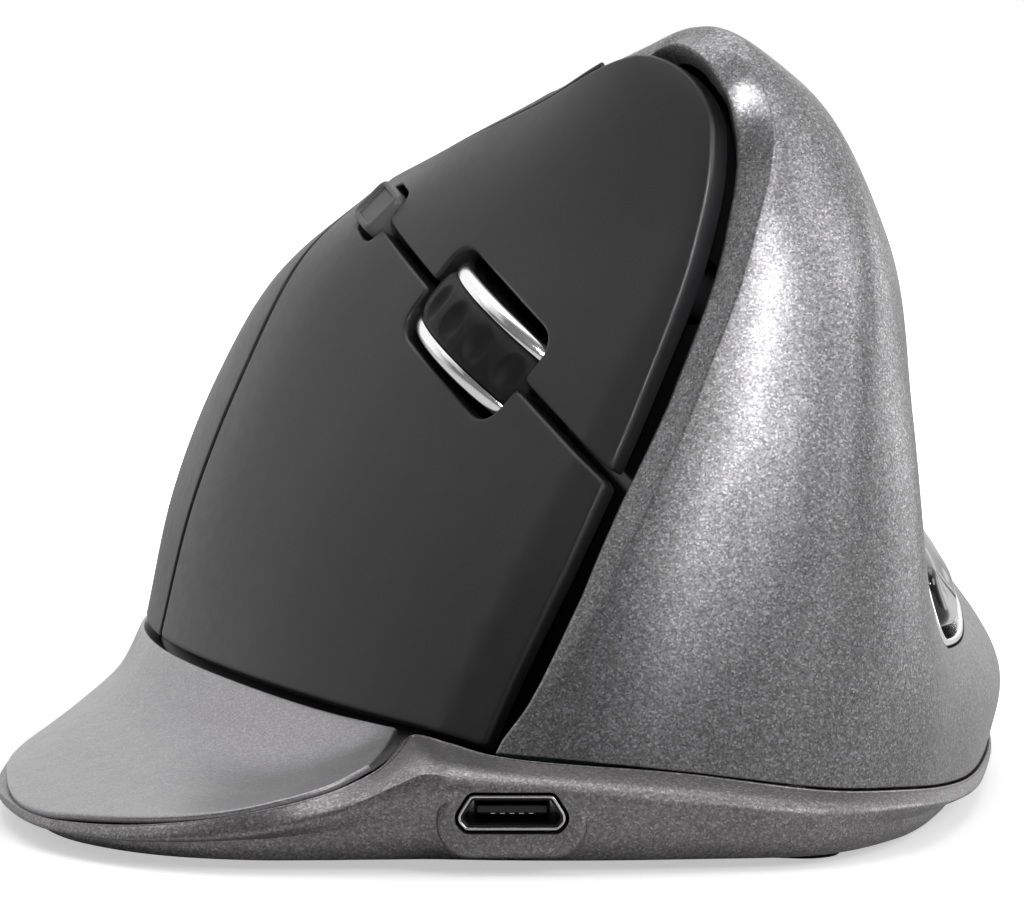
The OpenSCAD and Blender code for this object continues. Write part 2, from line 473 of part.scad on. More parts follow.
module button_board() color([0.05, 0.3, 0.16]) in_panel() difference() {
  prism(switch_board_c - 1.2, switch_board_c) polygon([[19, -22], [18.6, 4], [17.6, 9], [14.6, 17], [1, 17],
    [-3, 14.6], [-3, 7.4], [10.9, 7.4], [10.9, -11.6], [-7.4, -11.6], [-7.4, -22]]);
  for (p = standoff_at) post(p.x, p.y, -20, 0, 1.1);
}
module button_board_screws() color([0.55, 0.55, 0.56]) in_panel() for (p = standoff_at) {
  post(p.x, p.y, switch_board_c - 2, switch_board_c - 1.2, 1.7);
  post(p.x, p.y, switch_board_c - 1.4, switch_board_c + 3.8, 0.75);
}
module micro_switch(b) in_panel() difference() {
  block(nub_a - 8.9, nub_a + 3.9, b - 2.9, b + 2.9, switch_board_c, -5.7);
  post(nub_a, b, -8.5, -5, 1.1);
}
module micro_plunger(b) in_panel() post(nub_a, b, -7.6, -5.1, 0.95);
module primary_switch() color([0.1, 0.1, 0.11]) micro_switch(primary_b);
module primary_plunger() color([0.9, 0.9, 0.88]) micro_plunger(primary_b);
module secondary_switch() color([0.1, 0.1, 0.11]) micro_switch(secondary_b);
module secondary_plunger() color([0.9, 0.9, 0.88]) micro_plunger(secondary_b);
module middle_switch() color([0.6, 0.6, 0.6]) in_panel() difference() {
  block(middle_a - 3, middle_a + 3, -3, 3, switch_board_c, -10.6);
  post(middle_a, 0, -12, -10, 1.65);
}
module middle_plunger() color([0.1, 0.1, 0.11]) in_panel() post(middle_a, 0, -11.1, -9.75, 1.5);

// Wheel

module yoke_arm_2d() {
  translate([hinge_a, hinge_c]) circle(2.2);
  translate([0, axle_c]) circle(2.2);
  polygon([[hinge_a - 0.6, hinge_c + 2], [hinge_a + 0.8, hinge_c - 2],
    [0.6, axle_c - 2.1], [-0.8, axle_c + 2.05]]);
  polygon([[0, axle_c - 2], [middle_a + 1.2, -9.7], [middle_a + 1.2, -7.6], [0, axle_c + 2]]);
}
module wheel_yoke() color([0.3, 0.3, 0.32]) in_panel() difference() {
  union() {
    for (b = [-yoke_arm_b, yoke_arm_b])
      translate([0, b + yoke_arm_t / 2, 0]) rotate([90, 0, 0]) linear_extrude(yoke_arm_t) yoke_arm_2d();
    block(middle_a - 1.2, middle_a + 1.2, -yoke_arm_b, yoke_arm_b, -9.7, -7.9);
  }
  rod_y(hinge_a, hinge_c, -20, 20, pin_r + 0.08);
  rod_y(0, axle_c, -20, 20, 1.32);
}
module wheel_encoder() color([0.12, 0.2, 0.14]) in_panel() difference() {
  block(-5.5, 5.5, -10.4, -6.4, axle_c - 5.5, axle_c + 2.6);
  rod_y(0, axle_c, -20, 0, 1.6);
}
module around_axle() in_panel() translate([0, 0, axle_c]) rotate([-90, 0, 0]) children();
module wheel_hub() color([0.16, 0.16, 0.17]) around_axle() {
  translate([0, 0, -tyre_w / 2 - 1.2]) cylinder(h = tyre_w + 2.4, r = 7.4);
  translate([0, 0, -10]) cylinder(h = 16.8, r = 1.25);
}
module wheel_tyre() color([0.05, 0.05, 0.05]) around_axle() difference() {
  rotate_extrude($fn = 80) polygon([[7.4, -tyre_w / 2], [tyre_r - 0.5, -tyre_w / 2],
    [tyre_r - 0.12, -tyre_w / 4], [tyre_r, 0], [tyre_r - 0.12, tyre_w / 4],
    [tyre_r - 0.5, tyre_w / 2], [7.4, tyre_w / 2]]);
  for (i = [0:grooves - 1]) rotate([0, 0, i * 360 / grooves])
    translate([tyre_r + 0.2, 0, -tyre_w]) cylinder(h = 2 * tyre_w, r = 0.6, $fn = 16);
}
module wheel_rims() color([0.85, 0.85, 0.86]) around_axle() for (s = [-1, 1])
  scale([1, 1, s]) rotate_extrude($fn = 80) translate([0, tyre_w / 2 + 0.05])
    polygon([[7.4, 0], [tyre_r - 0.45, 0], [tyre_r - 0.35, 0.35], [tyre_r - 0.8, 1.15], [7.4, 1.15]]);

// Sensitivity button

module dpi_button() color([0.45, 0.45, 0.46]) in_dpi() {
  prism(-3.35, 0.7) soft_rect(dpi_side, dpi_side - 0.2, 0.8);
  prism(-3.2, -2.6) soft_rect(dpi_side + 1.5, dpi_side + 1.3, 0.8);
}
// Rear of the hinge lugs at the depth of the small board, and the gap the board keeps behind them
dpi_board_c = -5.6;
dpi_board_t = 1;
dpi_board_gap = 0.5;
dpi_switch_w = 3.4;
lug_rear = local(dpi, panel[0] + panel[1] * (hinge_a - lug_half));
lug_lean = (panel[3] * dpi[1]) / (panel[3] * dpi[3]);
dpi_board_front = lug_rear.x + (dpi_board_c - dpi_board_t - lug_rear.z) * lug_lean - dpi_board_gap;
module dpi_board() color([0.05, 0.3, 0.16]) in_dpi()
  block(-7, dpi_board_front, -4.4, 2.9, dpi_board_c - dpi_board_t, dpi_board_c);
module dpi_switch() color([0.6, 0.6, 0.6]) in_dpi() difference() {
  block(-dpi_switch_w / 2, dpi_switch_w / 2, -dpi_switch_w / 2, dpi_switch_w / 2, dpi_board_c, -3.9);
  post(0, 0, -5.45, -3, 1.2);
}
module dpi_plunger() color([0.1, 0.1, 0.11]) in_dpi() post(0, 0, -4.9, -3.4, 1.05);

// Thumb buttons

module thumb_skin(d0, d1) skin(patch(THUMB, 4.3, 8, 26, 1.2, 3, 14), d0, d1);
module thumb_bezel() color([0.8, 0.8, 0.81]) intersection() {
  thumb_skin(-0.25, shell_wall + 0.2);
  in_thumb() prism(-9, 6) difference() {
    leaf_2d(1.4);
    leaf_2d(0.45);
  }
}
module thumb_key(side) {
  difference() {
    union() {
      intersection() {
        thumb_skin(-0.9, 2.2);
        in_thumb() prism(-9, 6) intersection() {
          leaf_2d(0);
          translate([side * (50 + 0.3), 0]) square([100, 40], center = true);
        }
      }
      in_thumb() {
        for (a = [4.2, 12.7]) {
          block(side * a - 0.9, side * a + 0.9, 0, a < 8 ? 2.6 : 1.5,
            thumb_pin_c - 1.4, thumb_c(side * a, 1.2) - 1.2);
          block(side * a - 0.9, side * a + 0.9, 1, thumb_pin_b, thumb_pin_c - 1.4, thumb_pin_c + 1.2);
          rod_x(thumb_pin_b, thumb_pin_c, side * a - 0.9, side * a + 0.9, 1.7);
        }
        post(side * thumb_nub_a, thumb_nub_b, -4.35, thumb_c(side * thumb_nub_a, thumb_nub_b) - 1.2, 1.4);
      }
    }
    in_thumb() rod_x(thumb_pin_b, thumb_pin_c, -40, 40, 0.97);
  }
}
module forward_button() color([0.1, 0.1, 0.1]) thumb_key(-1);
module back_button() color([0.1, 0.1, 0.1]) thumb_key(1);
module thumb_pin() color([0.7, 0.7, 0.72]) in_thumb() rod_x(thumb_pin_b, thumb_pin_c, -16.2, 16.2, 0.9);
module thumb_carrier() color([0.07, 0.07, 0.08]) in_thumb() difference() {
  for (a = [-15, 0, 15]) {
    block(a - 1, a + 1, thumb_pin_b - 1.7, thumb_pin_b + 1.7, thumb_board_c, thumb_pin_c);
    rod_x(thumb_pin_b, thumb_pin_c, a - 1, a + 1, 1.7);
  }
  rod_x(thumb_pin_b, thumb_pin_c, -40, 40, 0.92);
}
module thumb_board() color([0.05, 0.3, 0.16]) in_thumb() difference() {
  prism(thumb_board_c - 1, thumb_board_c)
    polygon([[-thumb_screw_a + 4, thumb_low], [thumb_screw_a - 4, thumb_low], [thumb_screw_a + 2.2, 0],
      [thumb_screw_a + 2.2, 8], [-thumb_screw_a + 7.7, 8], [-thumb_screw_a - 2.2, 4.6],
      [-thumb_screw_a - 2.2, 0]]);
  for (a = [-thumb_screw_a, thumb_screw_a]) post(a, thumb_screw_b, -20, 0, 1.1);
}
module thumb_screws() color([0.55, 0.55, 0.56]) in_thumb() for (a = [-thumb_screw_a, thumb_screw_a]) {
  post(a, thumb_screw_b, thumb_board_c - 1.8, thumb_board_c - 1, 1.7);
  post(a, thumb_screw_b, thumb_board_c - 1.2, thumb_board_c + 3.4, 0.75);
}
module tall_switch(side) in_thumb() difference() {
  block(side * thumb_nub_a - 3, side * thumb_nub_a + 3, thumb_nub_b - 3, thumb_nub_b + 3,
    thumb_board_c, -5.2);
  post(side * thumb_nub_a, thumb_nub_b, -7, -4, 1.65);
}
module tall_plunger(side) in_thumb() post(side * thumb_nub_a, thumb_nub_b, -6.4, -4.4, 1.5);
module forward_switch() color([0.6, 0.6, 0.6]) tall_switch(-1);
module forward_plunger() color([0.1, 0.1, 0.11]) tall_plunger(-1);
module back_switch() color([0.6, 0.6, 0.6]) tall_switch(1);
module back_plunger() color([0.1, 0.1, 0.11]) tall_plunger(1);

// Electronics on the base

module main_board() color([0.05, 0.3, 0.16]) difference() {
  translate([0, 0, board_z]) linear_extrude(1) polygon(concat(
    [[-4.2, usb_y + 7.4], [12 * stretch.x, usb_y + 6.8]],
    [for (p = [[18, -43.4], [22, -40], [23, -34], [23, 9], [4, 9], [4, -38.5]]) spot(p)],
    [[-4.2, usb_y + 12.3]]));
  for (p = board_screw_at) post(p.x, p.y, 0, 20, 1.1);
  post(sensor_at.x, sensor_at.y, 0, 20, 2.2);
}
module main_board_screws() color([0.55, 0.55, 0.56]) for (p = board_screw_at) {
  post(p.x, p.y, board_z + 1, board_z + 1.8, 1.7);
  post(p.x, p.y, foot_h + 0.7, board_z + 1.2, 0.8);
}
module usb_2d(w) offset(r = w)
  polygon([[-3.4, -1], [3.4, -1], [3.4, 0.3], [2.7, 1], [-2.7, 1], [-3.4, 0.3]]);
module usb_shell() color([0.8, 0.8, 0.81]) translate([0, usb_y, usb_z]) rotate([90, 0, 0]) {
  translate([0, 0, -5.6]) linear_extrude(5.6) difference() {
    usb_2d(0.3);
    usb_2d(0);
  }
  translate([0, 0, -6]) linear_extrude(0.4) usb_2d(0.3);
}
module usb_tongue() color([0.05, 0.05, 0.05]) translate([0, usb_y, usb_z]) {
  block(-2.4, 2.4, 0.7, 4.4, -0.1, 0.45);
  block(-2.6, 2.6, 4.4, 5.6, -0.8, 0.8);
}
module sensor_chip() color([0.08, 0.08, 0.09])
  block(sensor_at.x - 5, sensor_at.x + 5, sensor_at.y - 4.4, sensor_at.y + 4.4, board_z + 1, board_z + 3.2);
module sensor_lens() color([0.8, 0.85, 0.9]) translate([sensor_at.x, sensor_at.y, 0]) {
  translate([0, 0, floor_z]) linear_extrude(board_z - floor_z) soft_rect(12, 9, 1.5);
  translate([0, 0, foot_h + 0.3]) linear_extrude(floor_z - foot_h) soft_rect(7.4, 5.4, 1.4);
}
module power_switch() color([0.7, 0.7, 0.72])
  block(power_at.x - 4.2, power_at.x + 4.2, power_at.y - 1.8, power_at.y + 1.8, board_z - 1.1, board_z);
module power_knob() color([0.1, 0.1, 0.1])
  block(power_at.x - 2.2, power_at.x - 0.2, power_at.y - 0.8, power_at.y + 0.8,
    foot_h + 0.15, board_z - 1.1);
module battery_cell() color([0.75, 0.75, 0.78]) translate([battery_at.x, battery_at.y, floor_z])
  linear_extrude(battery_t) soft_rect(battery_w, battery_l, 2.4);
module lead_runs(r) for (x = [0, 1.6])
  rod_between([plug_at.x - 4.8 + x, battery_at.y - battery_l / 2 - 0.4, floor_z + 3.4],
    [plug_at.x - 0.8 + x, plug_at.y + 1.7, board_z + 2.4], r);
module battery_leads() color([0.7, 0.1, 0.08]) lead_runs(0.5);
module battery_plug() color([0.9, 0.9, 0.86]) difference() {
  block(plug_at.x - 2.2, plug_at.x + 2.2, plug_at.y - 2, plug_at.y + 2, board_z + 1, board_z + 3.6);
  lead_runs(0.6);
}
function put_low(p, z) = let (q = spot(p)) [q.x, q.y, z];
module flat_cable() color([0.85, 0.85, 0.82]) {
  back = [for (b = [-6, 4]) panel[0] + panel[1] * 18 + panel[2] * b + panel[3] * (switch_board_c - 1.25)];
  skin(patch([for (i = [0, 1]) [back[i], back[i] - panel[3] * 3 + [0.6, 0.6, -1.2],
    put_low([12 + i * 1.5, -32 + i * 5.5], board_z + 8), put_low([13 + i, -31 + i * 6], board_z + 1.6)]],
    0, 3, 9, 0, 1, 1), 0, 0.25);
}

base_tray();
side_shell();
pinky_rest();
grip_panel();
inner_frame();
hinge_pin();
primary_button();
secondary_button();
button_board();
button_board_screws();
primary_switch();
primary_plunger();
secondary_switch();
secondary_plunger();
middle_switch();
middle_plunger();
wheel_yoke();
wheel_encoder();
wheel_hub();
wheel_tyre();
wheel_rims();
dpi_button();
dpi_board();
dpi_switch();
dpi_plunger();
thumb_bezel();
forward_button();
back_button();
thumb_pin();
thumb_carrier();
thumb_board();
thumb_screws();
forward_switch();
forward_plunger();
back_switch();
back_plunger();
main_board();
main_board_screws();
usb_shell();
usb_tongue();
sensor_chip();
sensor_lens();
power_switch();
power_knob();
battery_cell();
battery_leads();
battery_plug();
flat_cable();
base_screws();
glide_feet();
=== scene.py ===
"""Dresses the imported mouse: outer skins, finger buttons, wheel, thumb keys, cable socket and underside."""

import logging
import math
from dataclasses import dataclass, field
from enum import Enum
from typing import Callable, Optional, Sequence

import bpy
import numpy as np
from mathutils import Matrix, Vector
from mathutils.geometry import delaunay_2d_cdt


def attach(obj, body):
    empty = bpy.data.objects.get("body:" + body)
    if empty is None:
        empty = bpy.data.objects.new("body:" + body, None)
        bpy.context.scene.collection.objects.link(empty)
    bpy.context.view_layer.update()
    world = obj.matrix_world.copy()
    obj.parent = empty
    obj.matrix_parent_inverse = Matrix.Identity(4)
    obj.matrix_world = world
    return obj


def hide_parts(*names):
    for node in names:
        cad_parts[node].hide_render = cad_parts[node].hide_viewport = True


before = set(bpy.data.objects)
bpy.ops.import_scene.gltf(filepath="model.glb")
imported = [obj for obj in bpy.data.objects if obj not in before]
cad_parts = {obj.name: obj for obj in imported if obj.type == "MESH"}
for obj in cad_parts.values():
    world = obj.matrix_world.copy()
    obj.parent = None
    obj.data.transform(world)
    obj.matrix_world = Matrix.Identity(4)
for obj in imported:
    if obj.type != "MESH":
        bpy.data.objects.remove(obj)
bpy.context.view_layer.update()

Array = np.ndarray
Link = bpy.types.NodeSocket
MM = 0.001
MIDDLE_Y = 0.7
SOCKET_PLACE = (-52.3, 4.3)
QUARTER = np.radians([0, 22.5, 45, 67.5, 90])
log = logging.getLogger("mouse")


# Smooth curves and nets, in millimetres


def along(knots: Array, t: Array, loop: bool = False) -> Array:
    """Points on smooth curves, one curve for each value of t.

    Args:
        knots: points of the curves, shaped (points, curves, axes).
        t: place on each curve, counted in knots.
        loop: whether the curves close on themselves.

    Returns:
        One point for each curve.
    """
    count = len(knots)
    if loop:
        pts = np.concatenate([knots[-1:], knots, knots[:2]])
        i = np.floor(t).astype(int) % count
        f = t - np.floor(t)
    else:
        pts = np.concatenate([2 * knots[:1] - knots[1:2], knots, 2 * knots[-1:] - knots[-2:-1]])
        i = np.clip(np.floor(t).astype(int), 0, count - 2)
        f = t - i
    lane = np.arange(len(t))
    a, b, c, e = (pts[i + step, lane] for step in range(4))
    leg = [np.linalg.norm(q - p, axis=-1, keepdims=True) for p, q in ((a, b), (b, c), (c, e))]
    m0 = ((c - b) / leg[1] * leg[0] + (b - a) / leg[0] * leg[1]) / (leg[0] + leg[1]) * leg[1]
    m1 = ((e - c) / leg[2] * leg[1] + (c - b) / leg[1] * leg[2]) / (leg[1] + leg[2]) * leg[1]
    f = f[:, None]
    return (b * (2 * f**3 - 3 * f**2 + 1) + m0 * (f**3 - 2 * f**2 + f)
            + c * (3 * f**2 - 2 * f**3) + m1 * (f**3 - f**2))


def curve(points: Sequence, per_span: int, loop: bool = False) -> Array:
    """A smooth line through points, with that many steps between neighbours.

    Args:
        points: points that the line passes through.
        per_span: steps between neighbours.
        loop: whether the line closes.

    Returns:
        Points of the line.
    """
    knots = np.array(points, float)
    spans = len(knots) if loop else len(knots) - 1
    t = np.arange(spans * per_span + (0 if loop else 1)) / per_span
    return along(np.repeat(knots[:, None], len(t), axis=1), t, loop)


def ease(x: Array) -> Array:
    """A smooth step from 0 to 1."""
    x = np.clip(x, 0, 1)
    return x * x * (3 - 2 * x)


def unit(v: Array) -> Array:
    """Directions of length one."""
    return v / np.maximum(np.linalg.norm(v, axis=-1, keepdims=True), 1e-12)


@dataclass(frozen=True)
class Plane:
    """A local frame: origin, two directions in the plane and the one out of it."""

    origin: Array
    a: Array
    b: Array
    n: Array

    @classmethod
    def facing(cls, origin: Array, normal: Array, towards: Array) -> "Plane":
        """The frame at a point with a given normal, its first direction nearest to towards."""
        a = unit(towards - normal * (towards @ normal))
        return cls(origin, a, np.cross(normal, a), normal)

    def local(self, points: Array) -> Array:
        """The points' coordinates in this frame."""
        return (points - self.origin) @ np.stack([self.a, self.b, self.n], axis=1)

    def world(self, a: Array, b: Array, c: Array) -> Array:
        """Points from coordinates in this frame."""
        a, b, c = (np.asarray(x, float)[..., None] for x in (a, b, c))
        return self.origin + a * self.a + b * self.b + c * self.n

    def matrix(self) -> Matrix:
        """The frame as a transform, in metres.

        Returns:
            The transform.
        """
        m = Matrix.Identity(4)
        for row in range(3):
            m[row][0], m[row][1], m[row][2] = self.a[row], self.b[row], self.n[row]
            m[row][3] = self.origin[row] * MM
        return m


class Net:
    """A surface through a net of points: rows along v, each running along u."""

    def __init__(self, rows: Sequence) -> None:
        """Takes rows of points, with the body's middle not yet under the origin."""
        self.rows = np.array(rows, float) + [0, MIDDLE_Y, 0]

    def at(self, u: Array, v: Array) -> Array:
        """Surface points at pairs of u and v.

        Args:
            u: places along the rows.
            v: places across them.

        Returns:
            One point for each pair.
        """
        count, lines = len(u), len(self.rows)
        cols = np.repeat(self.rows.transpose(1, 0, 2)[:, :, None], count, axis=2)
        pts = along(cols.reshape(len(cols), lines * count, 3), np.tile(u, lines))
        return along(pts.reshape(lines, count, 3), v)

    def normal(self, u: Array, v: Array, step: float = 0.02, edge: float = 0.1) -> Array:
        """Outward directions, read a little in from the net's edges.

        Args:
            u: places along the rows.
            v: places across them.
            step: half the distance that a slope is read over.
            edge: how far in from an edge the slope is read.

        Returns:
            One direction for each pair.
        """
        u = np.clip(u, edge, self.rows.shape[1] - 1 - edge)
        v = np.clip(v, edge, self.rows.shape[0] - 1 - edge)
        return unit(np.cross(self.at(u + step, v) - self.at(u - step, v),
                             self.at(u, v + step) - self.at(u, v - step)))

    def grid(self, us: Array, vs: Array) -> tuple[Array, Array]:
        """Points and normals on a grid, shaped (v, u, axes).

        Args:
            us: places along the rows.
            vs: places across them.

        Returns:
            Points and normals.
        """
        v, u = (x.ravel() for x in np.meshgrid(vs, us, indexing="ij"))
        shape = (len(vs), len(us), 3)
        return self.at(u, v).reshape(shape), self.normal(u, v).reshape(shape)

    def seek(self, plane: Plane, ab: Array, turns: int = 9) -> tuple[Array, Array]:
        """Where the surface stands over points of a plane.

        Args:
            plane: the frame that the points lie in.
            ab: points in the plane, shaped (points, 2).
            turns: Newton steps.

        Returns:
            Values of u and of v, one each for a point.
        """
        top_v, top_u = self.rows.shape[0] - 1, self.rows.shape[1] - 1
        v, u = (x.ravel() for x in np.meshgrid(
            np.linspace(0, top_v, 12 * top_v + 1), np.linspace(0, top_u, 8 * top_u + 1), indexing="ij"))
        ahead = self.normal(u, v) @ plane.n > 0.15
        u, v = u[ahead], v[ahead]
        seen = plane.local(self.at(u, v))[:, :2]
        near = np.concatenate([
            np.argmin(((part[:, None] - seen[None]) ** 2).sum(-1), axis=1)
            for part in np.array_split(ab, max(1, len(ab) // 1500))])
        u, v = u[near], v[near]
        h = 0.01
        for _ in range(turns):
            q = plane.local(self.at(u, v))[:, :2]
            ju = (plane.local(self.at(u + h, v))[:, :2] - q) / h
            jv = (plane.local(self.at(u, v + h))[:, :2] - q) / h
            det = ju[:, 0] * jv[:, 1] - jv[:, 0] * ju[:, 1]
            det = np.where(np.abs(det) < 1e-6, 1e-6, det)
            e = ab - q
            u = u + np.clip((e[:, 0] * jv[:, 1] - e[:, 1] * jv[:, 0]) / det, -0.4, 0.4)
            v = v + np.clip((ju[:, 0] * e[:, 1] - ju[:, 1] * e[:, 0]) / det, -0.4, 0.4)
        return u, v


FINGER = Net([
    [[16, -36.2, 54.3], [9.4, -29.4, 55.6], [1.6, -20, 51.6], [-5.4, -10, 47.9],
     [-11.4, 2, 43.8], [-14.2, 15, 36.8], [-13.4, 28, 27.6], [-9.4, 39.2, 19.4]],
    [[14, -38.9, 43], [3.2, -29, 42.8], [-6, -19, 42], [-13.4, -9, 40.5],
     [-18.4, 3, 37.8], [-19.6, 16, 32], [-17.2, 29, 24.6], [-11.2, 40.7, 17.2]],
    [[9.6, -41.2, 31.7], [-2, -31, 31.8], [-11.8, -20, 31.5], [-19, -9, 31],
     [-23, 4, 30], [-23.2, 17, 26.5], [-20, 30, 21], [-12.8, 41.9, 14.6]],
    [[4.4, -43.7, 20.5], [-7.2, -33, 20.8], [-17, -21, 21], [-23.6, -9, 21],
     [-26.6, 4, 20.8], [-26, 18, 19], [-22, 31, 16], [-13.8, 42.8, 11.6]],
    [[-1.5, -46, 7.9], [-11.6, -35.6, 9.1], [-20.5, -23, 10.1], [-26.3, -10, 10.7],
     [-28.8, 4, 10.9], [-28, 18, 10.6], [-23.4, 32, 9.6], [-14.6, 43.6, 8.2]]])

THUMB = Net([
    [[-1.2, -47.5, 7.6], [2.5, -48.4, 7.4], [12, -49, 6.5], [22, -46.5, 5], [27.5, -41, 4.2],
     [31.8, -31, 3.1], [35.5, -14, 2.5], [37, 2, 2.6], [35.5, 20, 3.2], [28, 37, 3.8],
     [12, 49, 4.2], [-4, 51.3, 4.4], [-15.4, 47.2, 4]],
    [[0.3, -46.5, 10.6], [4, -47.5, 10.4], [12.8, -48.1, 10], [22.4, -46, 9], [28.1, -40.8, 8.5],
     [32.4, -30.5, 7.5], [36.4, -14, 7], [38, 2, 7.2], [36.5, 20, 7.6], [29, 36.5, 7.8],
     [12.5, 48, 7.6], [-3.2, 50.6, 7.4], [-14, 44.6, 8.6]],
    [[4.6, -44, 20.5], [8, -44.9, 20.3], [15, -45.4, 20], [23.5, -44, 19.5], [28.4, -39.5, 19],
     [29.8, -30, 17.5], [31, -14, 16], [32.2, 3, 16.2], [31.6, 20, 16.6], [26, 34, 15],
     [12, 44.5, 12], [-2, 47, 10.5], [-13.3, 43.3, 11.8]],
    [[9.8, -41.4, 31.7], [13, -42.2, 31.6], [18, -42.6, 31.5], [24.5, -41.3, 31], [28.1, -36.5, 30.5],
     [27, -28, 29], [24.5, -14, 27.5], [24.5, 2, 26.5], [24, 17, 25.5], [19.5, 30, 22],
     [9, 39.5, 17.5], [-1.8, 43.8, 14], [-12.3, 42.3, 14.7]],
    [[14.2, -39, 43], [17.3, -39.6, 43.2], [20.5, -39.4, 43.2], [25.2, -37.3, 43], [26.8, -32, 42],
     [24, -25, 41], [17.5, -13, 39], [13.5, 1, 36.5], [11.5, 15, 32.5], [9, 27, 27],
     [2.8, 36.5, 21.5], [-4.2, 41.4, 17], [-11.2, 41.2, 16.7]],
    [[15.7, -37, 50.5], [18.3, -36.7, 50.9], [20.2, -35, 52.2], [21.2, -31.5, 52.8], [19.5, -26.6, 52.4],
     [15, -20.4, 50.8], [7, -10.6, 47], [0.5, 1, 42.7], [-3.2, 14, 36.4], [-4.6, 27, 28.2],
     [-5.8, 35.6, 22], [-7.6, 39.4, 18.9], [-10.3, 40.4, 18]],
    [[14.9, -36, 53], [16, -34.6, 55.5], [15, -32.4, 57.2], [13.2, -29.2, 57.3], [10.4, -24.8, 56],
     [6.6, -19.4, 53.6], [-0.4, -9.6, 49.1], [-6.6, 1.5, 44.7], [-9.6, 14.5, 37.5], [-9.8, 27.5, 28.6],
     [-8.2, 35.6, 22.4], [-8.5, 38.6, 20], [-9.6, 39.8, 19]],
    [[13.8, -35.2, 54.4], [12.2, -32.6, 56], [10, -29.7, 56.1], [7.2, -26.3, 55], [4.4, -22.9, 53.5],
     [1.4, -18.7, 51.7], [-4.6, -9.1, 48.3], [-10.4, 2.4, 44.3], [-13.2, 15.2, 37.3], [-12.4, 28.1, 28.1],
     [-10.3, 36, 22.3], [-9.3, 38.4, 20.5], [-9, 39.2, 19.9]]])

REST = Net([
    [[-8.1, -40.6, 8.4], [-9.7, -38.7, 8.5], [-11.9, -35.9, 8.6], [-20.8, -23.2, 9.6], [-26.6, -10, 10.2],
     [-29.1, 4, 10.4], [-28.3, 18, 10.1], [-23.7, 32.2, 9.1], [-15.2, 43.7, 7.8]],
    [[-8.5, -42.8, 8], [-10.7, -41.8, 7.2], [-13.2, -40.6, 6.4], [-23.2, -28.6, 6.4], [-29.2, -12.6, 6.7],
     [-31, 3.2, 6.9], [-29.5, 18, 6.9], [-24.4, 32.8, 6.8], [-15.5, 44.7, 6.6]],
    [[-9, -45.4, 7.5], [-11.8, -45.9, 6.3], [-15, -46.5, 5.2], [-26.8, -36, 4.3], [-33.2, -17.2, 4.5],
     [-33.6, 1.8, 4.7], [-30.8, 18, 4.9], [-25.2, 33.8, 5.2], [-15.8, 45.8, 5.5]],
    [[-9.8, -48.2, 6.9], [-12.6, -50.6, 5.8], [-17.1, -51.8, 4.7], [-31.2, -43.7, 2.8], [-37.4, -22, 2.6],
     [-36.3, 0, 2.7], [-32.2, 18, 3], [-25.7, 35, 3.6], [-16.2, 47, 4.2]]])

SEAM = [[-4.4, -44.3, 7.9], [-1.9, -47.4, 7.6], [12, -49.3, 6.5], [22, -47, 5], [27.7, -41.4, 4.2],
        [32, -31.3, 3.1], [35.8, -14, 2.5], [37.3, 2, 2.6], [35.8, 20, 3.2], [28.2, 37.2, 3.8],
        [12, 49.4, 4.2], [-3.6, 51.9, 4.2], [-15.8, 47.8, 3.8], [-26, 35.2, 3.2], [-32.5, 18, 2.6],
        [-36.6, 0, 2.3], [-38, -15, 2.2], [-36.5, -32, 2.2], [-31.4, -43.9, 2.4], [-24, -50.2, 3.2],
        [-17.1, -52.1, 4.4], [-12.3, -51, 5.5], [-9.2, -48.2, 6.6], [-7.7, -44.4, 7.5], [-6.9, -41, 8]]
BELLY = [[-4.4, -53, 5.9], [-1.5, -53.1, 6], [12, -52, 5], [22, -49.4, 3.8], [28.6, -42.4, 3.1],
         [32.6, -31.5, 2.2], [35.9, -14, 1.9], [37.3, 2, 1.9], [35.8, 20, 2.2], [28.2, 37, 2.5],
         [12.2, 49, 2.6], [-3.7, 51.5, 2.6], [-16, 47.3, 2.4], [-26, 35, 2.1], [-32.3, 18, 1.85],
         [-36.5, 0, 1.7], [-38, -15, 1.6], [-36.5, -32, 1.6], [-31.5, -44.2, 1.7], [-24.4, -50.6, 2.1],
         [-17.4, -52.6, 2.8], [-12.8, -52.8, 3.9], [-9.8, -52.9, 4.8], [-7.6, -52.9, 5.4], [-6, -53, 5.7]]
KEEL = [[-4.4, -52.6, 0], [-1.5, -52.8, 0], [12, -52, 0], [22, -49.4, 0], [27.6, -42.2, 0],
        [31, -31.4, 0], [33.6, -14, 0], [34.8, 2, 0], [33.4, 20, 0], [26.4, 35.6, 0],
        [11.2, 47.2, 0], [-3.8, 49.6, 0], [-15.2, 45.6, 0], [-24.6, 34, 0], [-30.8, 18, 0],
        [-34.8, 0, 0], [-36.2, -15, 0], [-35, -31.6, 0], [-30.4, -43.3, 0], [-24, -49.3, 0],
        [-17.6, -51.6, 0], [-12.8, -52, 0], [-9.8, -52.2, 0], [-7.6, -52.4, 0], [-6, -52.5, 0]]


def one(net: Net, u: float, v: float) -> tuple[Array, Array]:
    """A single point of a net and its normal."""
    uu, vv = np.array([u]), np.array([v])
    return net.at(uu, vv)[0], net.normal(uu, vv)[0]


PANEL = Plane.facing(*one(FINGER, 1.25, 1.67), one(FINGER, 0, 2.5)[0] - one(FINGER, 2.83, 0.67)[0])
DPI = Plane.facing(*one(FINGER, 2.83, 0.67), PANEL.a)
THUMBPAD = Plane.facing(*one(THUMB, 6.15, 2.05), np.array([0.0, 1.0, 0.0]))


# Outlines in a plane


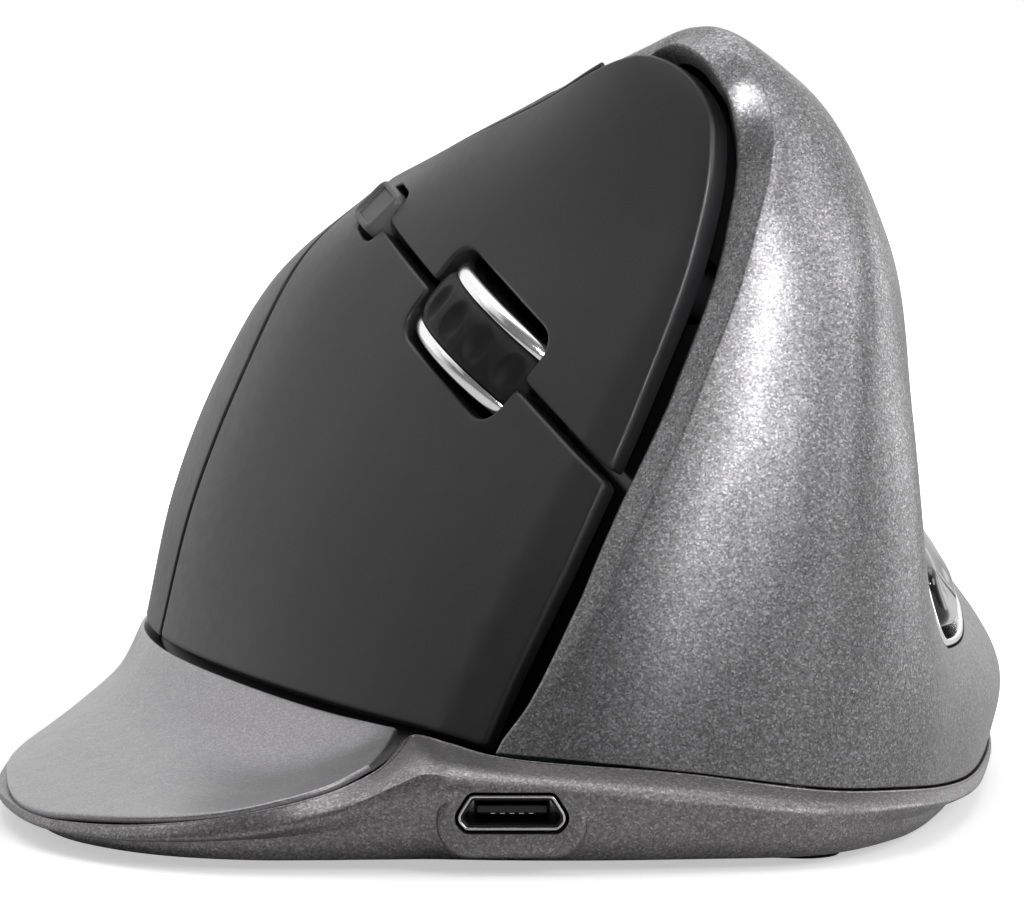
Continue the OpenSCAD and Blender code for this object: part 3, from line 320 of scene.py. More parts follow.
def inside(loop: Array, points: Array) -> Array:
    """Which points lie inside a closed line.

    Args:
        loop: the closed line.
        points: points to test.

    Returns:
        True for each point inside.
    """
    p, q = loop, np.roll(loop, -1, axis=0)
    x, y = points[:, 0][:, None], points[:, 1][:, None]
    over = (p[:, 1] > y) != (q[:, 1] > y)
    rise = np.where(q[:, 1] == p[:, 1], 1e-12, q[:, 1] - p[:, 1])
    cross = x < (q[:, 0] - p[:, 0]) * (y - p[:, 1]) / rise + p[:, 0]
    return (over & cross).sum(1) % 2 == 1


def inside_all(loops: Sequence[Array], points: Array) -> Array:
    """Which points lie in the area that a set of outlines and holes encloses."""
    return sum(inside(loop, points).astype(int) for loop in loops) % 2 == 1


def edge_gap(loops: Sequence[Array], points: Array) -> Array:
    """Distance of each point from the nearest outline.

    Args:
        loops: closed lines.
        points: points to measure from.

    Returns:
        One distance for each point.
    """
    p = np.concatenate(loops)
    d = np.concatenate([np.roll(loop, -1, axis=0) - loop for loop in loops])
    size = np.maximum((d**2).sum(1), 1e-12)
    best = []
    for part in np.array_split(points, max(1, len(points) // 1500)):
        rel = part[:, None] - p[None]
        t = np.clip((rel * d).sum(-1) / size, 0, 1)
        best.append(np.sqrt(((rel - t[..., None] * d) ** 2).sum(-1)).min(1))
    return np.concatenate(best)


def triangulate(loops: Sequence[Array], loose: Optional[Array] = None) -> tuple[Array, Array]:
    """Triangles over the plane that keep every edge of the loops, wound one way.

    Args:
        loops: closed lines whose edges are kept.
        loose: further points to use.

    Returns:
        Points and triangles.
    """
    verts: list[Vector] = []
    edges: list[tuple[int, int]] = []
    for loop in loops:
        start, count = len(verts), len(loop)
        verts += [Vector(p) for p in loop]
        edges += [(start + i, start + (i + 1) % count) for i in range(count)]
    if loose is not None:
        verts += [Vector(p) for p in loose]
    co, _, faces = delaunay_2d_cdt(verts, edges, [], 0, 1e-7)[:3]
    pts, tris = np.array([list(p) for p in co]), np.array(faces)
    a, b, c = (pts[tris[:, k]] for k in range(3))
    area = (b[:, 0] - a[:, 0]) * (c[:, 1] - a[:, 1]) - (c[:, 0] - a[:, 0]) * (b[:, 1] - a[:, 1])
    tris[area < 0] = tris[area < 0][:, ::-1]
    return pts, tris[np.abs(area) > 1e-12]


def border(tris: Array) -> list[tuple[int, int]]:
    """Directed edges that only one triangle uses.

    Args:
        tris: triangles, wound one way.

    Returns:
        Pairs of point numbers.
    """
    edges = np.concatenate([tris[:, [0, 1]], tris[:, [1, 2]], tris[:, [2, 0]]])
    have = set(map(tuple, edges.tolist()))
    return [e for e in have if (e[1], e[0]) not in have]


def area_loops(within: Sequence[Array], without: Sequence[Array] = ()) -> list[Array]:
    """Outlines of the area that lies inside some closed lines and outside others.

    Args:
        within: closed lines that hold the area.
        without: closed lines left out of it.

    Returns:
        The area's outlines, holes wound the other way.
    """
    pts, tris = triangulate([*within, *without])
    mid = pts[tris].mean(1)
    keep = np.ones(len(tris), bool)
    for loop in within:
        keep &= inside(loop, mid)
    for loop in without:
        keep &= ~inside(loop, mid)
    after = dict(border(tris[keep]))
    loops = []
    while after:
        start, ahead = min(after.items())
        chain = [start]
        del after[start]
        while ahead != start and ahead in after:
            chain.append(ahead)
            ahead = after.pop(ahead)
        loops.append(pts[chain])
    return [loop for loop in loops if length(loop) > 3]


def length(loop: Array) -> float:
    """Length of a closed line."""
    return float(np.linalg.norm(np.roll(loop, -1, axis=0) - loop, axis=1).sum())


def even(loop: Array, step: float, soften: int = 2) -> Array:
    """A closed line with even steps and its corners a little softened.

    Args:
        loop: the closed line.
        step: distance between points.
        soften: passes of softening.

    Returns:
        The new line.
    """
    closed = np.concatenate([loop, loop[:1]])
    s = np.concatenate([[0], np.cumsum(np.linalg.norm(np.diff(closed, axis=0), axis=1))])
    t = np.linspace(0, s[-1], max(12, int(s[-1] / step)), endpoint=False)
    out = np.stack([np.interp(t, s, closed[:, k]) for k in range(closed.shape[1])], axis=1)
    for _ in range(soften):
        out = 0.5 * out + 0.25 * (np.roll(out, 1, axis=0) + np.roll(out, -1, axis=0))
    return out


def inset(loop: Array, distance: float) -> Array:
    """A closed line moved to its left."""
    t = unit(np.roll(loop, -1, axis=0) - np.roll(loop, 1, axis=0))
    return loop + distance * np.stack([-t[:, 1], t[:, 0]], axis=1)


def soft_rect(x: float, y: float, r: float, steps: int = 8) -> Array:
    """A rectangle with round corners about the origin.

    Args:
        x: width.
        y: height.
        r: radius of the corners.
        steps: points on each corner.

    Returns:
        Points of the outline.
    """
    out = []
    for k, (sx, sy) in enumerate(((1, 1), (-1, 1), (-1, -1), (1, -1))):
        for turn in np.linspace(0, math.pi / 2, steps):
            angle = turn + k * math.pi / 2
            out.append((sx * (x / 2 - r) + r * math.cos(angle), sy * (y / 2 - r) + r * math.sin(angle)))
    return np.array(out)


def circle(r: float, count: int = 40) -> Array:
    """Points of a circle about the origin."""
    t = np.arange(count) * 2 * math.pi / count
    return np.stack([r * np.cos(t), r * np.sin(t)], axis=1)


# Meshes


@dataclass
class Shape:
    """Vertices in millimetres and the faces between them."""

    verts: list = field(default_factory=list)
    faces: list = field(default_factory=list)

    def add(self, verts: Array, faces: Sequence) -> "Shape":
        """Appends vertices and the faces that count from the first of them.

        Args:
            verts: new vertices.
            faces: faces between them.

        Returns:
            The shape itself.
        """
        start = len(self.verts)
        self.verts += np.asarray(verts, float).reshape(-1, 3).tolist()
        self.faces += [[start + i for i in f] for f in faces]
        return self

    def mesh(self, name: str, sharp: float = 45) -> bpy.types.Object:
        """Makes an object, smooth but for edges sharper than an angle in degrees.

        Args:
            name: name of the object.
            sharp: the angle.

        Returns:
            The object.
        """
        data = bpy.data.meshes.new(name)
        data.from_pydata([[x * MM for x in v] for v in self.verts], [], self.faces)
        data.validate()
        obj = bpy.data.objects.new(name, data)
        bpy.context.scene.collection.objects.link(obj)
        smooth(obj, sharp)
        return obj


def smooth(obj: bpy.types.Object, sharp: float) -> None:
    """Shades an object smooth, with edges sharper than an angle in degrees kept.

    Args:
        obj: the object.
        sharp: the angle.
    """
    obj.data.polygons.foreach_set("use_smooth", [True] * len(obj.data.polygons))
    obj.data.set_sharp_from_angle(angle=math.radians(sharp))
    obj.data.update()


def strips(rings: int, count: int, closed: bool = True) -> list[list[int]]:
    """Quads between rings of points that follow each other."""
    last = count if closed else count - 1
    return [[j * count + i, j * count + (i + 1) % count,
             (j + 1) * count + (i + 1) % count, (j + 1) * count + i]
            for j in range(rings - 1) for i in range(last)]


def tube(rings: Sequence[Array], shape: Optional[Shape] = None, ends: bool = True) -> Shape:
    """A closed solid through rings that wind left about the way they go.

    Args:
        rings: rings with the same number of points.
        shape: shape to add to.
        ends: whether both ends are closed.

    Returns:
        The shape.
    """
    shape = shape or Shape()
    count = len(rings[0])
    faces = strips(len(rings), count)
    if ends:
        faces += [list(range(count))[::-1], [(len(rings) - 1) * count + i for i in range(count)]]
    return shape.add(np.concatenate(rings), faces)


def prism(loop: Array, low: float, high: float, plane: Plane, soft: float = 0,
          shape: Optional[Shape] = None) -> Shape:
    """A plate over an outline in a plane, its upper edge rounded by soft.

    Args:
        loop: the outline.
        low: height of the lower face.
        high: height of the upper face.
        plane: the frame.
        soft: radius of the upper edge.
        shape: shape to add to.

    Returns:
        The shape.
    """
    levels = [(0.0, low)]
    if soft:
        for angle in QUARTER:
            levels.append((soft * (1 - math.cos(angle)), high - soft * (1 - math.sin(angle))))
    else:
        levels.append((0.0, high))
    rings = [plane.world(*inset(loop, d).T, np.full(len(loop), c)) for d, c in levels]
    return tube(rings, shape)


WORLD = Plane(np.zeros(3), np.array([1.0, 0, 0]), np.array([0, 1.0, 0]), np.array([0, 0, 1.0]))


def block(x: tuple, y: tuple, z: tuple, plane: Plane = WORLD, shape: Optional[Shape] = None) -> Shape:
    """A plain block in a frame, for hidden lugs and for cuts."""
    loop = np.array([[x[0], y[0]], [x[1], y[0]], [x[1], y[1]], [x[0], y[1]]])
    return prism(loop, z[0], z[1], plane, shape=shape)


def eyelet(plane: Plane, outer: float, bore: float, width: float, shape: Shape) -> None:
    """Adds a ring with a bore, along a frame's last direction."""
    rings = [plane.world(*circle(r).T, np.full(len(circle(r)), z)) for r, z in
             ((outer, 0.0), (outer, width), (bore, width), (bore, 0.0), (outer, 0.0))]
    tube(rings, shape, ends=False)


def rounded_grid(p: Array, n: Array, edges: dict[str, float]) -> tuple[Array, Array, Array]:
    """Gives the borders of a grid a quarter round.

    Args:
        p: grid points, shaped (v, u, axes).
        n: their normals.
        edges: radius of each border, under the letters b, t, l and r.

    Returns:
        Points, normals and how far below the skin the surface lies at each.
    """
    depth = np.zeros(p.shape[:2])
    for side, radius in edges.items():
        turn, back = side in "lr", side in "tr"
        if turn:
            p, n, depth = p.transpose(1, 0, 2), n.transpose(1, 0, 2), depth.T
        if back:
            p, n, depth = p[::-1], n[::-1], depth[::-1]
        gap = np.linalg.norm(p - p[0], axis=-1).mean(1)
        first = max(1, int(np.argmax(gap > 1.5 * radius)))
        t = unit(p[first] - p[0])
        p = np.concatenate([[p[0] + t * radius * (1 - math.cos(a)) for a in QUARTER], p[first:]])
        n = np.concatenate([[n[0]] * len(QUARTER), n[first:]])
        depth = np.concatenate([[depth[0] + radius * (1 - math.sin(a)) for a in QUARTER], depth[first:]])
        if back:
            p, n, depth = p[::-1], n[::-1], depth[::-1]
        if turn:
            p, n, depth = p.transpose(1, 0, 2), n.transpose(1, 0, 2), depth.T
    return p, n, depth


def thick_grid(p: Array, n: Array, depth: Array, under: Array) -> Shape:
    """A closed wall between the surface of a grid and another depth below its skin.

    Args:
        p: grid points, shaped (v, u, axes).
        n: their normals.
        depth: depth of the outer face.
        under: depth of the inner face.

    Returns:
        The closed shape.
    """
    rows, cols = p.shape[:2]
    outer = p - n * depth[..., None]
    inner = p - n * under[..., None]
    size = rows * cols
    quads = strips(rows, cols, False)
    rim = (list(range(cols)) + [j * cols + cols - 1 for j in range(1, rows)]
           + [(rows - 1) * cols + i for i in range(cols - 2, -1, -1)]
           + [j * cols for j in range(rows - 2, 0, -1)])
    faces = quads + [[i + size for i in q[::-1]] for q in quads]
    faces += [[rim[k], rim[k] + size, rim[(k + 1) % len(rim)] + size, rim[(k + 1) % len(rim)]]
              for k in range(len(rim))]
    return Shape().add(np.concatenate([outer.reshape(-1, 3), inner.reshape(-1, 3)]), faces)


def over_plane(loops: Sequence[Array], fillet: float, spacing: float, top: Callable[[Array], Array],
               bottom: Callable[[Array], Array], out: Array, crease: Optional[Array] = None) -> Shape:
    """A plate that covers an area of a plane, with a rounded upper edge.

    Args:
        loops: outlines of the area, its holes wound the other way.
        fillet: radius of the upper edge.
        spacing: distance between points away from the edges.
        top: gives the upper surface over points of the plane.
        bottom: gives the lower surface.
        out: direction out of the plane.
        crease: points of a line on the plate that stays crisp.

    Returns:
        The closed shape.
    """
    turns = np.radians([0, 20, 40, 60, 78, 90])
    rings = [inset(loop, fillet * (1 - math.cos(t))) for t in turns for loop in loops]
    rings += [inset(loop, fillet * 2.2) for loop in loops]
    flat = np.concatenate(loops)
    low, high = flat.min(0), flat.max(0)
    rows = np.arange(low[1], high[1], spacing * 0.87)
    loose = np.array([(x + (k % 2) * spacing / 2, y) for k, y in enumerate(rows)
                      for x in np.arange(low[0], high[0], spacing)])
    if crease is not None:
        loose = loose[edge_gap([np.concatenate([crease, crease[::-1]])], loose) > spacing * 0.4]
        loose = np.concatenate([crease, loose])
    loose = loose[inside_all(loops, loose)]
    loose = loose[edge_gap(loops, loose) > fillet * 2.2 + 0.3]
    pts, tris = triangulate(rings, loose)
    tris = tris[inside_all(loops, pts[tris].mean(1))]
    used = np.unique(tris)
    pts, tris = pts[used], np.searchsorted(used, tris)
    s = np.minimum(edge_gap(loops, pts), fillet)
    drop = fillet - np.sqrt(np.maximum(fillet**2 - (fillet - s) ** 2, 0))
    upper = top(pts) - drop[:, None] * out
    lower = bottom(pts)
    size = len(pts)
    faces = tris.tolist() + (tris[:, ::-1] + size).tolist()
    faces += [[b, a, a + size, b + size] for a, b in border(tris)]
    return Shape().add(np.concatenate([upper, lower]), faces)


def carve(obj: bpy.types.Object, tools: Sequence[tuple[bpy.types.Object, str]], sharp: float = 40) -> None:
    """Joins or cuts an object with others, which are used up.

    Args:
        obj: the object.
        tools: other objects and how each is used.
        sharp: edges sharper than this angle stay sharp.
    """
    for tool, how in tools:
        mod = obj.modifiers.new("carve", "BOOLEAN")
        mod.operation, mod.object, mod.solver = how, tool, "EXACT"
    bake(obj)
    for tool, _ in tools:
        bpy.data.objects.remove(tool)
    smooth(obj, sharp)


def bake(obj: bpy.types.Object) -> None:
    """Turns an object's modifiers into plain mesh.

    Args:
        obj: the object.
    """
    bpy.context.view_layer.update()
    data = bpy.data.meshes.new_from_object(obj.evaluated_get(bpy.context.evaluated_depsgraph_get()))
    old = obj.data
    obj.modifiers.clear()
    obj.data = data
    bpy.data.meshes.remove(old)


# Finishes


class Graph:
    """A material's nodes, with its surface shader at hand."""

    def __init__(self, name: str) -> None:
        """Starts a material with an empty surface.

        Args:
            name: name of the material.
        """
        self.material = bpy.data.materials.new(name)
        self.material.use_nodes = True
        self.tree = self.material.node_tree
        self.tree.nodes.clear()
        self.shader = self.add("ShaderNodeBsdfPrincipled")
        self.link(self.shader.outputs[0], self.add("ShaderNodeOutputMaterial").inputs["Surface"])
        self.place = self.add("ShaderNodeTexCoord").outputs["Object"]

    def add(self, kind: str, **values: object) -> bpy.types.Node:
        """Adds a node and sets its inputs by name.

        Args:
            kind: kind of node.
            **values: values of its inputs.

        Returns:
            The node.
        """
        node = self.tree.nodes.new(kind)
        for key, value in values.items():
            node.inputs[key.replace("_", " ")].default_value = value
        return node

    def link(self, a: Link, b: Link) -> None:
        """Joins two sockets."""
        self.tree.links.new(a, b)

    def set(self, **values: object) -> None:
        """Sets plain values on the surface shader."""
        for key, value in values.items():
            self.shader.inputs[key.replace("_", " ")].default_value = value

    def noise(self, size: float, detail: float = 2, stretch: Sequence[float] = (1, 1, 1)) -> Link:
        """Smooth noise with features of a size in millimetres.

        Args:
            size: size of a feature.
            detail: layers of finer noise.
            stretch: scale along each axis.

        Returns:
            The noise's value.
        """
        spread = self.add("ShaderNodeMapping")
        spread.inputs["Scale"].default_value = stretch
        self.link(self.place, spread.inputs["Vector"])
        node = self.add("ShaderNodeTexNoise", Scale=1 / (size * MM), Detail=detail)
        self.link(spread.outputs[0], node.inputs["Vector"])
        return node.outputs["Fac"]

    def cells(self, size: float) -> bpy.types.Node:
        """Small cells, each with a random colour.

        Args:
            size: size of a cell.

        Returns:
            The node.
        """
        node = self.add("ShaderNodeTexVoronoi", Scale=1 / (size * MM))
        self.link(self.place, node.inputs["Vector"])
        return node

    def ramp(self, value: Link, stops: Sequence[tuple[float, Sequence[float]]]) -> Link:
        """Colours along a value.

        Args:
            value: the value.
            stops: places and their colours.

        Returns:
            The colour.
        """
        node = self.add("ShaderNodeValToRGB")
        while len(node.color_ramp.elements) < len(stops):
            node.color_ramp.elements.new(0.5)
        for element, (at, colour) in zip(node.color_ramp.elements, stops):
            element.position = at
            element.color = (*colour, 1)
        self.link(value, node.inputs["Fac"])
        return node.outputs["Color"]

    def span(self, value: Link, low: float, high: float) -> Link:
        """A value from the middle of noise spread between two numbers.

        Args:
            value: the noise.
            low: number at its low end.
            high: number at its high end.

        Returns:
            The number.
        """
        node = self.add("ShaderNodeMapRange", From_Min=0.3, From_Max=0.7, To_Min=low, To_Max=high)
        self.link(value, node.inputs["Value"])
        return node.outputs["Result"]

    def rough(self, grain: Link, middle: float, swing: float) -> None:
        """Lets the roughness wander about a value."""
        self.link(self.span(grain, middle - swing, middle + swing), self.shader.inputs["Roughness"])

    def bump(self, height: Link, depth: float, under: Optional[Link] = None) -> Link:
        """Bump of a depth in millimetres.

        Args:
            height: height of the surface.
            depth: how deep it goes.
            under: normal to start from.

        Returns:
            The new normal.
        """
        node = self.add("ShaderNodeBump", Strength=1.0, Distance=depth * MM)
        self.link(height, node.inputs["Height"])
        if under is not None:
            self.link(under, node.inputs["Normal"])
        self.link(node.outputs["Normal"], self.shader.inputs["Normal"])
        return node.outputs["Normal"]


def shade(colour: Sequence[float], factor: float) -> tuple[float, ...]:
    """A colour made lighter or darker."""
    return tuple(min(1.0, c * factor) for c in colour)


@dataclass(frozen=True)
class FlakePaint:
    """Metallic paint: bright and dark flakes in a grey ground."""

    name: str
    colour: tuple
    metallic: float = 0.85
    roughness: float = 0.4
    flake: float = 0.13
    contrast: float = 0.5
    coat: float = 0.15

    def build(self) -> bpy.types.Material:
        """Makes the material.

        Returns:
            The material.
        """
        g = Graph(self.name + "_look")
        cell = g.cells(self.flake)
        part = g.add("ShaderNodeSeparateColor")
        g.link(cell.outputs["Color"], part.inputs["Color"])
        k = self.contrast
        tint = g.ramp(part.outputs["Red"], [
            (0.0, shade(self.colour, 1 - k)), (0.5, shade(self.colour, 1 - 0.2 * k)),
            (0.85, shade(self.colour, 1 + 0.35 * k)), (1.0, shade(self.colour, 1 + 1.6 * k))])
        g.link(tint, g.shader.inputs["Base Color"])
        g.rough(g.noise(1.6), self.roughness, 0.03)
        g.bump(part.outputs["Green"], 0.004)
        g.set(Metallic=self.metallic, Coat_Weight=self.coat, Coat_Roughness=0.25)
        return g.material


@dataclass(frozen=True)
class Plastic:
    """Moulded plastic, from soft satin to gloss, with a fine grain."""

    name: str
    colour: tuple
    roughness: float = 0.45
    grain: float = 0.12
    depth: float = 0.002
    specular: float = 0.5
    coat: float = 0.0

    def build(self) -> bpy.types.Material:
        """Makes the material.

        Returns:
            The material.
        """
        g = Graph(self.name + "_look")
        tint = g.ramp(g.noise(2.4, 3), [(0.3, shade(self.colour, 0.93)), (0.7, shade(self.colour, 1.07))])
        g.link(tint, g.shader.inputs["Base Color"])
        g.rough(g.noise(0.9, 3), self.roughness, 0.025)
        g.bump(g.noise(self.grain, 2), self.depth)
        g.set(Specular_IOR_Level=self.specular, Coat_Weight=self.coat, Coat_Roughness=0.05)
        return g.material


@dataclass(frozen=True)
class Metal:
    """Bare or plated metal, brushed along one direction where it has a lay."""

    name: str
    colour: tuple
    roughness: float = 0.12
    lay: tuple = (1, 1, 1)
    depth: float = 0.001

    def build(self) -> bpy.types.Material:
        """Makes the material.

        Returns:
            The material.
        """
        g = Graph(self.name + "_look")
        mark = g.noise(0.25, 4, self.lay)
        g.link(g.ramp(mark, [(0.3, shade(self.colour, 0.94)), (0.7, shade(self.colour, 1.04))]),
               g.shader.inputs["Base Color"])
        g.link(g.span(mark, self.roughness * 0.75, self.roughness * 1.3), g.shader.inputs["Roughness"])
        g.bump(mark, self.depth)
        g.set(Metallic=1.0)
        return g.material


@dataclass(frozen=True)
class Rubber:
    """Matt moulded rubber with a fine stipple."""

    name: str
    colour: tuple
    roughness: float = 0.6

    def build(self) -> bpy.types.Material:
        """Makes the material.

        Returns:
            The material.
        """
        g = Graph(self.name + "_look")
        g.link(g.ramp(g.noise(0.6, 4), [(0.3, shade(self.colour, 0.8)), (0.7, shade(self.colour, 1.25))]),
               g.shader.inputs["Base Color"])
        g.rough(g.noise(0.5, 3), self.roughness, 0.08)
        g.bump(g.noise(0.09, 2), 0.006)
        g.set(Specular_IOR_Level=0.25)
        return g.material


@dataclass(frozen=True)
class Lacquer:
    """Circuit board: lacquer over lighter tracks."""

    name: str
    colour: tuple

    def build(self) -> bpy.types.Material:
        """Makes the material.

        Returns:
            The material.
        """
        g = Graph(self.name + "_look")
        brick = g.add("ShaderNodeTexBrick", Scale=220.0, Mortar_Size=0.06, Mortar_Smooth=0.1)
        g.link(g.place, brick.inputs["Vector"])
        g.link(g.ramp(brick.outputs["Fac"], [(0.0, self.colour), (1.0, shade(self.colour, 2.0))]),
               g.shader.inputs["Base Color"])
        g.link(g.span(g.noise(1.2), 0.28, 0.36), g.shader.inputs["Roughness"])
        g.bump(brick.outputs["Fac"], 0.03)
        return g.material


@dataclass(frozen=True)
class Clear:
    """Clear moulded plastic."""

    name: str
    colour: tuple

    def build(self) -> bpy.types.Material:
        """Makes the material.

        Returns:
            The material.
        """
        g = Graph(self.name + "_look")
        g.link(g.span(g.noise(1.0), 0.04, 0.1), g.shader.inputs["Roughness"])
        g.bump(g.noise(0.8), 0.002)
        g.set(Base_Color=(*self.colour, 1), Transmission_Weight=0.9, IOR=1.49)
        return g.material


class Finish(Enum):
    """Every finish on the mouse."""

    SHELL = FlakePaint("shell_paint", (0.22, 0.217, 0.222))
    REST = FlakePaint("rest_paint", (0.31, 0.302, 0.312), roughness=0.36, contrast=0.25, flake=0.1)
    BASE = FlakePaint("base_paint", (0.24, 0.231, 0.236), roughness=0.45, contrast=0.4)
    SATIN = Plastic("satin_black", (0.0145, 0.0135, 0.0149), 0.4, 0.16, 0.0016, 0.46)
    FRAME = Plastic("frame_black", (0.006, 0.006, 0.0065), 0.16, 0.9, 0.001)
    KEY = Plastic("key_gloss", (0.008, 0.008, 0.009), 0.1, 1.2, 0.001, coat=0.6)
    BUTTON = Plastic("button_grey", (0.085, 0.082, 0.086), 0.36, 0.15, 0.002)
    TYRE = Rubber("tyre_rubber", (0.007, 0.0068, 0.0072))
    CHROME = Metal("bright_plate", (0.95, 0.95, 0.955), 0.16, depth=0.0004)
    STEEL = Metal("pin_steel", (0.55, 0.55, 0.56), 0.25, (1, 1, 6))
    SOCKET = Metal("socket_steel", (0.68, 0.67, 0.66), 0.2, (6, 1, 1))
    BOARD = Lacquer("board_green", (0.012, 0.075, 0.032))
    # dark nylon for real parts, also painted shade on the ridge bead and the seam sheet
    DARK = Plastic("dark_nylon_and_gap_shade", (0.012, 0.012, 0.013), 0.5, 0.2, 0.003)
    INNER = Plastic("inner_grey", (0.05, 0.05, 0.054), 0.5, 0.2, 0.003)
    WHITE = Plastic("white_nylon", (0.7, 0.7, 0.67), 0.45, 0.2, 0.003)
    LENS = Clear("lens_clear", (0.85, 0.9, 0.95))
    FOIL = Metal("cell_foil", (0.6, 0.6, 0.63), 0.32, (1, 4, 1), 0.004)
    WIRE = Plastic("lead_red", (0.4, 0.02, 0.015), 0.4, 0.3, 0.003)
    GLIDE = Plastic("glide_black", (0.02, 0.02, 0.021), 0.3, 0.25, 0.004)

    def material(self) -> bpy.types.Material:
        """The finish's material, made once."""
        return bpy.data.materials.get(self.value.name + "_look") or self.value.build()


def settle(obj: bpy.types.Object, finish: Finish, body: str, slot: str, *nodes: str) -> bpy.types.Object:
    """Gives a piece its finish and its body, and hides the nodes that it stands for.

    Args:
        obj: the piece.
        finish: its finish.
        body: the body that it moves with.
        slot: its slot; not used.
        *nodes: nodes that it stands for.

    Returns:
        The piece.
    """
    obj.data.materials.clear()
    obj.data.materials.append(finish.material())
    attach(obj, body)
    if nodes:
        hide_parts(*nodes)
    log.info("%s rides on %s: %d faces", obj.name, body, len(obj.data.polygons))
    return obj


# Repeats


def node_tree(name: str, sockets: Sequence[tuple[str, str, Optional[float]]]) -> bpy.types.NodeTree:
    """A Geometry Nodes tree with named inputs, each with a kind and a default, and one result.

    Args:
        name: name of the tree.
        sockets: name, kind and default of each input.

    Returns:
        The tree.
    """
    tree = bpy.data.node_groups.new(name, "GeometryNodeTree")
    for label, kind, value in sockets:
        socket = tree.interface.new_socket(label, in_out="INPUT", socket_type="NodeSocket" + kind)
        if value is not None:
            socket.default_value = value
    tree.interface.new_socket("Result", in_out="OUTPUT", socket_type="NodeSocketGeometry")
    return tree


def run_tree(name: str, data: bpy.types.Mesh, tree: bpy.types.NodeTree, **values: object) -> bpy.types.Object:
    """Puts a tree on a mesh, sets its inputs by name and turns the result into plain mesh.

    Args:
        name: name of the object.
        data: mesh that the tree starts from.
        tree: the tree.
        **values: its inputs.

    Returns:
        The object.
    """
    obj = bpy.data.objects.new(name, data)
    bpy.context.scene.collection.objects.link(obj)
    mod = obj.modifiers.new(tree.name, "NODES")
    mod.node_group = tree
    sockets = {s.name: s.identifier for s in tree.interface.items_tree if s.in_out == "INPUT"}
    for label, value in values.items():
        mod[sockets[label]] = value
    bake(obj)
    return obj


def scatter_tree() -> bpy.types.NodeTree:
    """A tree that sets a shape on points, each turned by the point's own angle.

    Returns:
        The tree.
    """
    if "scatter" in bpy.data.node_groups:
        return bpy.data.node_groups["scatter"]
    tree = node_tree("scatter", (("Points", "Geometry", None), ("Shape", "Object", None),
                                 ("Size", "Float", 1.0), ("Weld", "Float", 1e-7),
                                 ("Finish", "Material", None)))
    new, join = tree.nodes.new, tree.links.new
    start, end = new("NodeGroupInput"), new("NodeGroupOutput")
    info, points = new("GeometryNodeObjectInfo"), new("GeometryNodeMeshToPoints")
    put = new("GeometryNodeInstanceOnPoints")
    turn, as_turn = new("GeometryNodeInputNamedAttribute"), new("FunctionNodeEulerToRotation")
    turn.data_type = "FLOAT_VECTOR"
    turn.inputs["Name"].default_value = "turn"
    real, weld = new("GeometryNodeRealizeInstances"), new("GeometryNodeMergeByDistance")
    paint = new("GeometryNodeSetMaterial")
    join(start.outputs["Points"], points.inputs["Mesh"])
    join(start.outputs["Shape"], info.inputs["Object"])
    join(points.outputs[0], put.inputs["Points"])
    join(info.outputs["Geometry"], put.inputs["Instance"])
    join(turn.outputs["Attribute"], as_turn.inputs[0])
    join(as_turn.outputs[0], put.inputs["Rotation"])
    join(start.outputs["Size"], put.inputs["Scale"])
    join(put.outputs[0], real.inputs[0])
    join(real.outputs[0], weld.inputs["Geometry"])
    join(start.outputs["Weld"], weld.inputs["Distance"])
    join(weld.outputs[0], paint.inputs["Geometry"])
    join(start.outputs["Finish"], paint.inputs["Material"])
    join(paint.outputs[0], end.inputs["Result"])
    return tree


def scatter(name: str, shape: bpy.types.Object, places: Sequence, turns: Sequence, finish: Finish,
            plane: Plane = WORLD, weld: float = 1e-7, sharp: float = 45) -> bpy.types.Object:
    """Sets a shape on points of a frame with Geometry Nodes and makes one mesh of it.

    Args:
        name: name of the piece.
        shape: the object to repeat, which is used up.
        places: points in the frame, in millimetres.
        turns: turn of each, as three angles.
        finish: finish of the result.
        plane: the frame.
        weld: distance under which points join, in metres.
        sharp: edges sharper than this angle stay sharp.

    Returns:
        The piece.
    """
    data = bpy.data.meshes.new(name)
    data.from_pydata([[x * MM for x in p] for p in places], [], [])
    turn = data.attributes.new("turn", "FLOAT_VECTOR", "POINT")
    turn.data.foreach_set("vector", np.array(turns, float).ravel())
    obj = run_tree(name, data, scatter_tree(), Shape=shape, Weld=weld, Finish=finish.material())
    bpy.data.objects.remove(shape)
    obj.data.transform(plane.matrix())
    smooth(obj, sharp)
    return obj


def sweep_tree() -> bpy.types.NodeTree:
    """A tree that sweeps a round section along a line.

    Returns:
        The tree.
    """
    if "sweep" in bpy.data.node_groups:
        return bpy.data.node_groups["sweep"]
    tree = node_tree("sweep", (("Line", "Geometry", None), ("Radius", "Float", 2e-4), ("Sides", "Int", 12),
                               ("Finish", "Material", None)))
    new, join = tree.nodes.new, tree.links.new
    start, end = new("NodeGroupInput"), new("NodeGroupOutput")
    line, ring = new("GeometryNodeMeshToCurve"), new("GeometryNodeCurvePrimitiveCircle")
    swept = new("GeometryNodeCurveToMesh")
    real, paint = new("GeometryNodeRealizeInstances"), new("GeometryNodeSetMaterial")
    swept.inputs["Fill Caps"].default_value = True
    join(start.outputs["Line"], line.inputs["Mesh"])
    join(start.outputs["Sides"], ring.inputs["Resolution"])
    join(start.outputs["Radius"], ring.inputs["Radius"])
    join(line.outputs[0], swept.inputs["Curve"])
    join(ring.outputs[0], swept.inputs["Profile Curve"])
    join(swept.outputs[0], real.inputs[0])
    join(real.outputs[0], paint.inputs["Geometry"])
    join(start.outputs["Finish"], paint.inputs["Material"])
    join(paint.outputs[0], end.inputs["Result"])
    return tree


